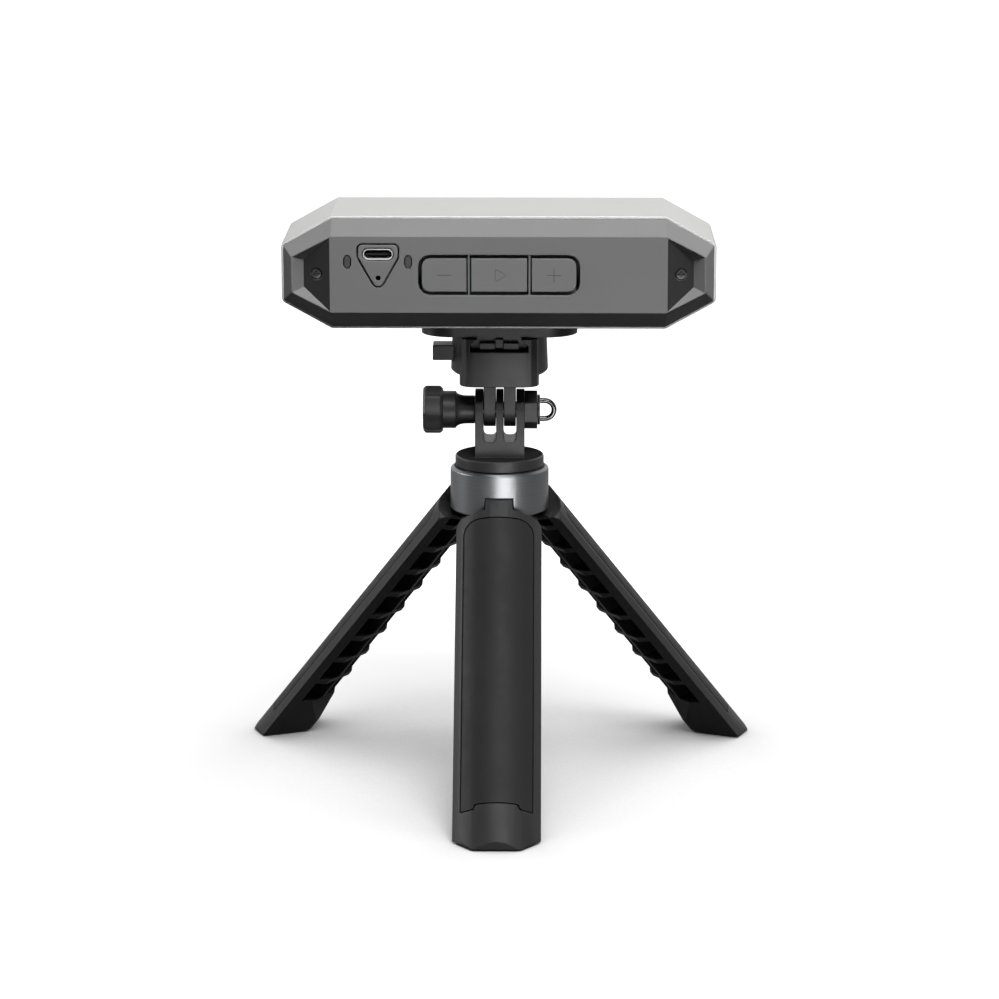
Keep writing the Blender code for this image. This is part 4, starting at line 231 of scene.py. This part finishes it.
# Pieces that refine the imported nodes

WELD_REACH = 0.002 * MM
FLAT_ANGLE = 0.6  # degrees between triangles of one flat
FLAT_WEIGHT = 50
EDGE_SEGMENTS = 2
RIM_DEPTH = 1.2 * MM  # from the shell's rear end
RIM_FACING = -0.3  # highest Y of the rim's normals
POCKET_BORDER = 3.0 * MM  # from the cover's left and right ends
POCKET_LEAN = (0.25, 0.45)  # size of X of the floors' normals
POCKET_FACING = -0.9  # highest Y of the floors' normals
DISC_RISE = 5.0 * MM  # from the metal ring's top
DISC_FACING = 0.9  # lowest Z of the disc's normals
WIRE_LEVELS = 2
WASHER_REACH = 0.08 * MM

# Holes go through flats of these, so their triangles aren't merged.
PIERCED = {"rear_cover", "port_insert", "front_leg", "left_leg", "right_leg", "hub_ring"}
OWN_PIECES = {"left_cover_screw", "right_cover_screw"}  # built anew further down
USUAL_ANGLE = 28.0  # degrees past which an edge is sharp
SMOOTHING = {"rear_cover": 3.0}
USUAL_EDGE = 0.08  # width of an edge's rounding in millimetres
EDGES = {
    "front_shell": 0.35, "rear_cover": 0.0, "front_window": 0.15,
    "port_insert": 0.12, "usb_shell": 0.05, "usb_tongue": 0.05,
    "minus_button": 0.18, "play_button": 0.18, "plus_button": 0.18,
    "left_light_pipe": 0.1, "right_light_pipe": 0.1,
    "mounting_plate": 0.0, "clamp_body": 0.2, "release_button": 0.3, "release_spring": 0.0,
    "fork_adapter": 0.14, "clamp_knob": 0.25, "clamp_nut": 0.1, "nut_washer": 0.15, "wire_ring": 0.0,
    "hub_ring": 0.15, "hub_core": 0.1,
}
for side in ("front", "left", "right"):
    EDGES[side + "_leg"] = 0.0
    EDGES[side + "_leg_inlay"] = 0.15
    EDGES[side + "_foot_pad"] = 0.2


def put(name, data):
    """A new object in the scene."""
    thing = bpy.data.objects.new(name, data)
    bpy.context.scene.collection.objects.link(thing)
    return thing


def shade(mesh, angle):
    """Smooth shading with sharp edges past an angle in degrees."""
    mesh.shade_smooth()
    mesh.set_sharp_from_angle(angle=math.radians(angle))


def stand_for(piece, node):
    """Puts a piece in a node's place and on its body."""
    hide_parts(node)
    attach(piece, BODY_OF[node])


def edge_round(piece, width, angle):
    """Rounds a piece's edges by millimetres, so that they catch the light."""
    step = piece.modifiers.new("edges", "BEVEL")
    step.width = width * MM
    step.segments = EDGE_SEGMENTS
    step.limit_method = "ANGLE"
    step.angle_limit = math.radians(angle)
    step.use_clamp_overlap = False
    step.harden_normals = True
    step.miter_outer = "MITER_ARC"


def even_flats(piece):
    """Keeps the flats of a piece without rounded edges flat."""
    step = piece.modifiers.new("flats", "WEIGHTED_NORMAL")
    step.keep_sharp = True
    step.weight = FLAT_WEIGHT


def refined(node, width, angle):
    """A node's form with merged flats, smooth round faces and softened edges."""
    source = NODES[node].data
    mesh = bpy.data.meshes.new(node + "_fine")
    corners = [tuple(v.co) for v in source.vertices]
    mesh.from_pydata(corners, [], [tuple(face.vertices) for face in source.polygons])
    shape = bmesh.new()
    shape.from_mesh(mesh)
    bmesh.ops.remove_doubles(shape, verts=shape.verts, dist=WELD_REACH)
    if node not in PIERCED:
        bmesh.ops.dissolve_limit(
            shape, angle_limit=math.radians(FLAT_ANGLE), use_dissolve_boundaries=False,
            verts=shape.verts, edges=shape.edges,
        )
    bmesh.ops.recalc_face_normals(shape, faces=shape.faces)
    shape.to_mesh(mesh)
    shape.free()
    piece = put(node + "_fine", mesh)
    shade(mesh, angle)
    if width:
        edge_round(piece, width, angle)
    else:
        even_flats(piece)
    mesh.materials.append(NODE_LOOKS.get(node, LOOKS[SLOT_OF[node]]))
    stand_for(piece, node)
    return piece


def second_look(piece, look, chosen):
    """Gives the faces that a test picks a look of their own."""
    piece.data.materials.append(look)
    for face in piece.data.polygons:
        if chosen(face):
            face.material_index = 1


def paint_rim_highlight(piece):
    """Paints the shell's rear rim near white, a painted highlight along its edge."""
    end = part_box("front_shell")[0].y + RIM_DEPTH
    second_look(piece, RIM_HIGHLIGHT_LOOK, lambda face: face.center.y < end and face.normal.y < RIM_FACING)


def paint_pocket_shade(piece):
    """Gives the two screw pockets' floors a darker look, painted shade in the recesses."""
    low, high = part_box("rear_cover")
    reach = (high.x - low.x) / 2 - POCKET_BORDER

    def is_floor(face):
        leans = POCKET_LEAN[0] < abs(face.normal.x) < POCKET_LEAN[1] and face.normal.y < POCKET_FACING
        return leans and abs(face.center.x) < reach

    second_look(piece, POCKET_SHADE_LOOK, is_floor)


def paint_disc_shadow(piece):
    """Gives the swivel disc's upper face a darker look without gloss; the dark tone is a painted shadow
    from the scanner body above.
    """
    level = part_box("hub_ring")[1].z + DISC_RISE
    second_look(piece, DISC_SHADOW_LOOK, lambda face: face.center.z < level and face.normal.z > DISC_FACING)


def smooth_wire(piece):
    """Rounds the wire's facets and keeps its two ends."""
    piece.modifiers.clear()
    mesh = piece.data
    ends = {edge for face in mesh.polygons if len(face.vertices) > 4 for edge in face.edge_keys}
    creases = mesh.attributes.new("crease_edge", "FLOAT", "EDGE")
    for edge in mesh.edges:
        creases.data[edge.index].value = float(edge.key in ends)
    step = piece.modifiers.new("round", "SUBSURF")
    step.levels = step.render_levels = WIRE_LEVELS


def wide_washer(piece):
    """Brings the washer's faces up to its neighbours."""
    low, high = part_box("nut_washer")
    middle = (low.x + high.x) / 2
    for vertex in piece.data.vertices:
        vertex.co.x += math.copysign(WASHER_REACH, vertex.co.x - middle)


# Last touches for some pieces: a rounded wire and a wider washer, with painted highlight on the rim and
# painted shade on the pockets and disc.
TOUCHES_AND_PAINTED_LIGHT = {
    "front_shell": paint_rim_highlight,
    "rear_cover": paint_pocket_shade,
    "fork_adapter": paint_disc_shadow,
    "wire_ring": smooth_wire,
    "nut_washer": wide_washer,
}
for node in NODES:
    if node not in OWN_PIECES:
        piece = refined(node, EDGES.get(node, USUAL_EDGE), SMOOTHING.get(node, USUAL_ANGLE))
        if node in TOUCHES_AND_PAINTED_LIGHT:
            TOUCHES_AND_PAINTED_LIGHT[node](piece)


# Pieces built here

SCREW_STEPS = 24
SCREW_HEAD = ((0.80, 0.0), (0.93, 0.06), (1.0, 0.22), (1.0, 0.85))  # share of the radius, depth in mm
SCREW_ANGLE = 35.0  # degrees past which an edge is sharp
SHANK_SHARE = 0.58  # of the head's radius
CROSS_RISE = -0.04 * MM  # the recess's border, from the head's face
CROSS_DEPTH = 0.5 * MM
CROSS_TOP = (0.62, 0.15)  # shares of the head's radius: an arm's reach and half its width
CROSS_FLOOR = (0.30, 0.10)
SIGN_HALF = 2.1 * MM
SIGN_LINE = 0.16 * MM
SIGN_ROUNDNESS = 2
PLAY_SIZE = 2.3 * MM
PLAY_CORNER = 0.4 * MM
PLAY_STEPS = 4
KEY_BAR_WIDTH = 0.6 * MM
KEY_BAR_EDGE = 0.12 * MM
KEY_BAR_SINK = 0.05 * MM
KEY_BAR_DEPTH = 1.6 * MM
KEY_BAR_END = 0.5 * MM
KEY_BAR_ANGLE = 20.0


def new_piece(name, shape, look, angle):
    """A mesh object from a bmesh, with its look and sharp edges past an angle in degrees."""
    mesh = bpy.data.meshes.new(name)
    bmesh.ops.recalc_face_normals(shape, faces=shape.faces)
    shape.to_mesh(mesh)
    shape.free()
    mesh.materials.append(look)
    shade(mesh, angle)
    return put(name, mesh)


def ring_of(shape, outline, y):
    """Vertices round an outline of X and Z at a depth."""
    return [shape.verts.new((x, y, z)) for x, z in outline]


def bridge(shape, first, second):
    """Faces between two rings of as many vertices."""
    count = len(first)
    for k in range(count):
        shape.faces.new((first[k], first[(k + 1) % count], second[(k + 1) % count], second[k]))


def circle_outline(x, z, radius):
    """Points round a screw's circle in X and Z."""
    turns = [2 * math.pi * k / SCREW_STEPS for k in range(SCREW_STEPS)]
    return [(x + radius * math.cos(t), z + radius * math.sin(t)) for t in turns]


def cross_outline(x, z, reach, half):
    """A cross's twelve corners, from its right arm's lower one, anticlockwise."""
    points = []
    for turn in range(4):
        for a, b in ((reach, -half), (reach, half), (half, half)):
            for _ in range(turn):
                a, b = -b, a
            points.append((x + a, z + b))
    return points


def cross_screw(node):
    """A screw with a rounded edge and a cross-shaped recess in its head."""
    low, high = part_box(node)
    x, z = (low.x + high.x) / 2, (low.z + high.z) / 2
    radius = (high.x - low.x) / 2
    face = low.y
    shape = bmesh.new()
    profile = [(share, face + depth * MM) for share, depth in SCREW_HEAD]
    profile += [(SHANK_SHARE, profile[-1][1]), (SHANK_SHARE, high.y)]
    rings = [ring_of(shape, circle_outline(x, z, radius * share), y) for share, y in profile]
    for first, second in zip(rings, rings[1:]):
        bridge(shape, first, second)
    shape.faces.new(rings[-1])
    recess = [
        ring_of(shape, cross_outline(x, z, *(radius * share for share in shares)), face + depth)
        for shares, depth in ((CROSS_TOP, CROSS_RISE), (CROSS_FLOOR, CROSS_DEPTH))
    ]
    bridge(shape, *recess)
    shape.faces.new(recess[-1])
    borders = (rings[0], recess[0])
    lines = [shape.edges.get(pair) for loop in borders for pair in zip(loop, loop[1:] + loop[:1])]
    bmesh.ops.bridge_loops(shape, edges=lines)
    stand_for(new_piece(node + "_fine", shape, SCREW_LOOK, SCREW_ANGLE), node)


def stroke(name, key, points, closed=False):
    """A thin line on a key's face, along points to the right of and above its middle."""
    low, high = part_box(key)
    x, z = (low.x + high.x) / 2, (low.z + high.z) / 2
    curve = bpy.data.curves.new(name, "CURVE")
    curve.dimensions = "3D"
    curve.bevel_depth = SIGN_LINE / 2
    curve.bevel_resolution = SIGN_ROUNDNESS
    curve.use_fill_caps = True
    line = curve.splines.new("POLY")
    line.points.add(len(points) - 1)
    for point, (a, b) in zip(line.points, points):
        point.co = (x + a, low.y, z + b, 1.0)
    line.use_cyclic_u = closed
    curve.materials.append(SIGN_LOOK)
    piece = put(name, curve)
    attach(piece, BODY_OF[key])


def rounded_triangle(size, radius, steps):
    """Points round a triangle that points right, with rounded corners."""
    points = []
    for corner in range(3):
        middle = 2 * math.pi * corner / 3
        x, z = (size - 2 * radius) * math.cos(middle), (size - 2 * radius) * math.sin(middle)
        for k in range(steps + 1):
            turn = middle - math.pi / 3 + 2 * math.pi / 3 * k / steps
            points.append((x + radius * math.cos(turn), z + radius * math.sin(turn)))
    return points


def key_signs():
    """A minus, a triangle and a plus in fine lines on the keys."""
    across = [(-SIGN_HALF, 0.0), (SIGN_HALF, 0.0)]
    upright = [(0.0, -SIGN_HALF), (0.0, SIGN_HALF)]
    stroke("minus_sign", "minus_button", across)
    stroke("play_sign", "play_button", rounded_triangle(PLAY_SIZE, PLAY_CORNER, PLAY_STEPS), closed=True)
    stroke("plus_sign_across", "plus_button", across)
    stroke("plus_sign_upright", "plus_button", upright)


def key_bars():
    """The cover's narrow bars between the keys."""
    play_low, play_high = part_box("play_button")
    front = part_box("port_insert")[0].y + KEY_BAR_SINK
    half = KEY_BAR_WIDTH / 2
    section = [(-half, KEY_BAR_DEPTH), (-half, KEY_BAR_EDGE), (-half + KEY_BAR_EDGE, 0.0),
               (half - KEY_BAR_EDGE, 0.0), (half, KEY_BAR_EDGE), (half, KEY_BAR_DEPTH)]
    gaps = {
        "left": (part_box("minus_button")[1].x, play_low.x),
        "right": (play_high.x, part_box("plus_button")[0].x),
    }
    for side, gap in gaps.items():
        x = (gap[0] + gap[1]) / 2
        shape = bmesh.new()
        ends = [[shape.verts.new((x + a, front + b, z)) for a, b in section]
                for z in (play_low.z + KEY_BAR_END, play_high.z - KEY_BAR_END)]
        bridge(shape, *ends)
        for end in ends:
            shape.faces.new(end)
        piece = new_piece("key_bar_" + side, shape, LOOKS["cover_grey"], KEY_BAR_ANGLE)
        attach(piece, "head")


for node in sorted(OWN_PIECES):
    cross_screw(node)
key_bars()
key_signs()


# Camera

SENSOR_WIDTH = 36.0  # millimetres, as the lens
LENS = 132.65
CAMERA_PLACE = (12.46 * MM, SWIVEL_Y - 1.100, 0.3317)
CAMERA_DROP = 12.671  # degrees below the horizon
CAMERA_TURN = 0.650  # degrees to the left
CLIP_NEAR = 0.01
CLIP_FAR = 50.0

camera = put("camera", bpy.data.cameras.new("camera"))
camera.data.sensor_width = SENSOR_WIDTH
camera.data.lens = LENS
camera.location = CAMERA_PLACE
camera.rotation_euler = (math.radians(90.0 - CAMERA_DROP), 0.0, math.radians(CAMERA_TURN))
camera.data.clip_start = CLIP_NEAR
camera.data.clip_end = CLIP_FAR
bpy.context.scene.camera = camera
bpy.context.scene.view_settings.view_transform = "Standard"


# Stage and light

AMBIENT = 0.025
STUDIO_DARK = 0.05
BACKDROP_EDGE = (0.0, 0.35)  # from where to where, by the direction's Y, the studio turns white
FLOOR_HALF = 6.0
FLOOR_PALE = 0.45
FLOOR_BOUNCE = 0.04  # the floor's grey for light that it throws back onto the object
GLOW_NEAR = 0.62  # the floor's own brightness under the object
GLOW_REACH = (0.09, 0.26)  # where that starts to rise and where it reaches white, from the middle
SHADE_REACH = 0.10
SHADE_DEPTH = 1.8  # the power that deepens the floor's shade
SHADE_SAMPLES = 8
LIGHT_AIM = Vector((0.0, SWIVEL_Y, 0.12))


def math_node(tree, kind, first, second):
    """A product, power or maximum of two values or sockets."""
    node = tree.nodes.new("ShaderNodeMath")
    node.operation = kind
    for socket, value in zip(node.inputs, (first, second)):
        if isinstance(value, float):
            socket.default_value = value
        else:
            tree.links.new(value, socket)
    return node.outputs["Value"]


def seen_rays(tree):
    """One for rays from the camera, in gloss or through glass, and the socket for the camera's alone."""
    path = tree.nodes.new("ShaderNodeLightPath")
    soft = math_node(tree, "MAXIMUM", path.outputs["Is Glossy Ray"], path.outputs["Is Transmission Ray"])
    camera_ray = path.outputs["Is Camera Ray"]
    return math_node(tree, "MAXIMUM", camera_ray, soft), camera_ray


def matt(tree, level):
    """A matt grey surface."""
    node = tree.nodes.new("ShaderNodeBsdfDiffuse")
    node.inputs["Color"].default_value = (level, level, level, 1.0)
    return node.outputs[0]


def floor_look():
    """A pale floor that fades to white away from the object and keeps its soft shadow."""
    material = bpy.data.materials.new("floor_look")
    material.use_nodes = True
    tree = material.node_tree
    tree.nodes.clear()
    seen, camera_ray = seen_rays(tree)
    place = tree.nodes.new("ShaderNodeTexCoord")
    length = tree.nodes.new("ShaderNodeVectorMath")
    length.operation = "LENGTH"
    tree.links.new(place.outputs["Object"], length.inputs[0])
    reach = spread(tree, length.outputs["Value"], GLOW_NEAR, 1.0, GLOW_REACH, smooth=True)
    open_sky = tree.nodes.new("ShaderNodeAmbientOcclusion")
    open_sky.inputs["Distance"].default_value = SHADE_REACH
    open_sky.samples = SHADE_SAMPLES
    lit = math_node(tree, "MULTIPLY", math_node(tree, "POWER", open_sky.outputs["AO"], SHADE_DEPTH), reach)
    glow = tree.nodes.new("ShaderNodeEmission")
    tree.links.new(math_node(tree, "MULTIPLY", lit, camera_ray), glow.inputs["Strength"])
    both = tree.nodes.new("ShaderNodeAddShader")
    tree.links.new(matt(tree, FLOOR_PALE), both.inputs[0])
    tree.links.new(glow.outputs[0], both.inputs[1])
    mix = tree.nodes.new("ShaderNodeMixShader")
    tree.links.new(seen, mix.inputs["Fac"])
    tree.links.new(matt(tree, FLOOR_BOUNCE), mix.inputs[1])
    tree.links.new(both.outputs[0], mix.inputs[2])
    out = tree.nodes.new("ShaderNodeOutputMaterial")
    tree.links.new(mix.outputs[0], out.inputs["Surface"])
    return material


def white_world():
    """White for the camera and behind the object in gloss, with the studio's dark side opposite."""
    world = bpy.data.worlds.new("studio")
    world.use_nodes = True
    tree = world.node_tree
    tree.nodes.clear()
    seen, camera_ray = seen_rays(tree)
    place = tree.nodes.new("ShaderNodeTexCoord")
    parts = tree.nodes.new("ShaderNodeSeparateXYZ")
    tree.links.new(place.outputs["Generated"], parts.inputs["Vector"])
    backdrop = spread(tree, parts.outputs["Y"], STUDIO_DARK, 1.0, BACKDROP_EDGE, smooth=True)
    strength = tree.nodes.new("ShaderNodeMix")
    strength.inputs["A"].default_value = AMBIENT
    tree.links.new(math_node(tree, "MAXIMUM", backdrop, camera_ray), strength.inputs["B"])
    tree.links.new(seen, strength.inputs["Factor"])
    light = tree.nodes.new("ShaderNodeBackground")
    light.inputs["Color"].default_value = (1.0, 1.0, 1.0, 1.0)
    tree.links.new(strength.outputs["Result"], light.inputs["Strength"])
    out = tree.nodes.new("ShaderNodeOutputWorld")
    tree.links.new(light.outputs[0], out.inputs["Surface"])
    bpy.context.scene.world = world


def lamp(name, azimuth, elevation, width, height, power, distance=1.1, diffuse=True, gloss=True):
    """A soft rectangular light round the object, with azimuth 0 on the camera's side."""
    data = bpy.data.lights.new(name, "AREA")
    data.shape = "RECTANGLE"
    data.size = width
    data.size_y = height
    data.energy = power
    light = put(name, data)
    turn, rise = math.radians(azimuth), math.radians(elevation)
    way = Vector((math.sin(turn) * math.cos(rise), -math.cos(turn) * math.cos(rise), math.sin(rise)))
    light.location = LIGHT_AIM + way * distance
    light.rotation_euler = way.to_track_quat("Z", "Y").to_euler()
    light.visible_camera = False
    light.visible_diffuse = diffuse
    light.visible_glossy = gloss


floor = put("floor", bpy.data.meshes.new("floor"))
corners = [(x * FLOOR_HALF, y * FLOOR_HALF, 0.0) for x, y in ((-1, -1), (1, -1), (1, 1), (-1, 1))]
floor.data.from_pydata(corners, [], [(0, 1, 2, 3)])
floor.data.materials.append(floor_look())
white_world()
lamp("key_light", azimuth=16.0, elevation=50.0, width=0.6, height=0.35, power=9.5)
lamp("top_light", azimuth=6.0, elevation=74.0, width=0.45, height=0.3, power=3.4)
lamp("right_light", azimuth=90.0, elevation=50.0, width=0.4, height=0.4, power=1.2)
lamp("front_card", azimuth=12.0, elevation=-22.0, width=0.15, height=0.12, power=0.42, distance=0.24,
     diffuse=False)
lamp("left_card", azimuth=-95.0, elevation=15.0, width=0.2, height=0.5, power=3.6, distance=0.8,
     diffuse=False)
for side, azimuth in (("left", -145.0), ("right", 145.0)):
    lamp("back_light_" + side, azimuth, elevation=16.0, width=0.5, height=0.4, power=3.2, gloss=False)
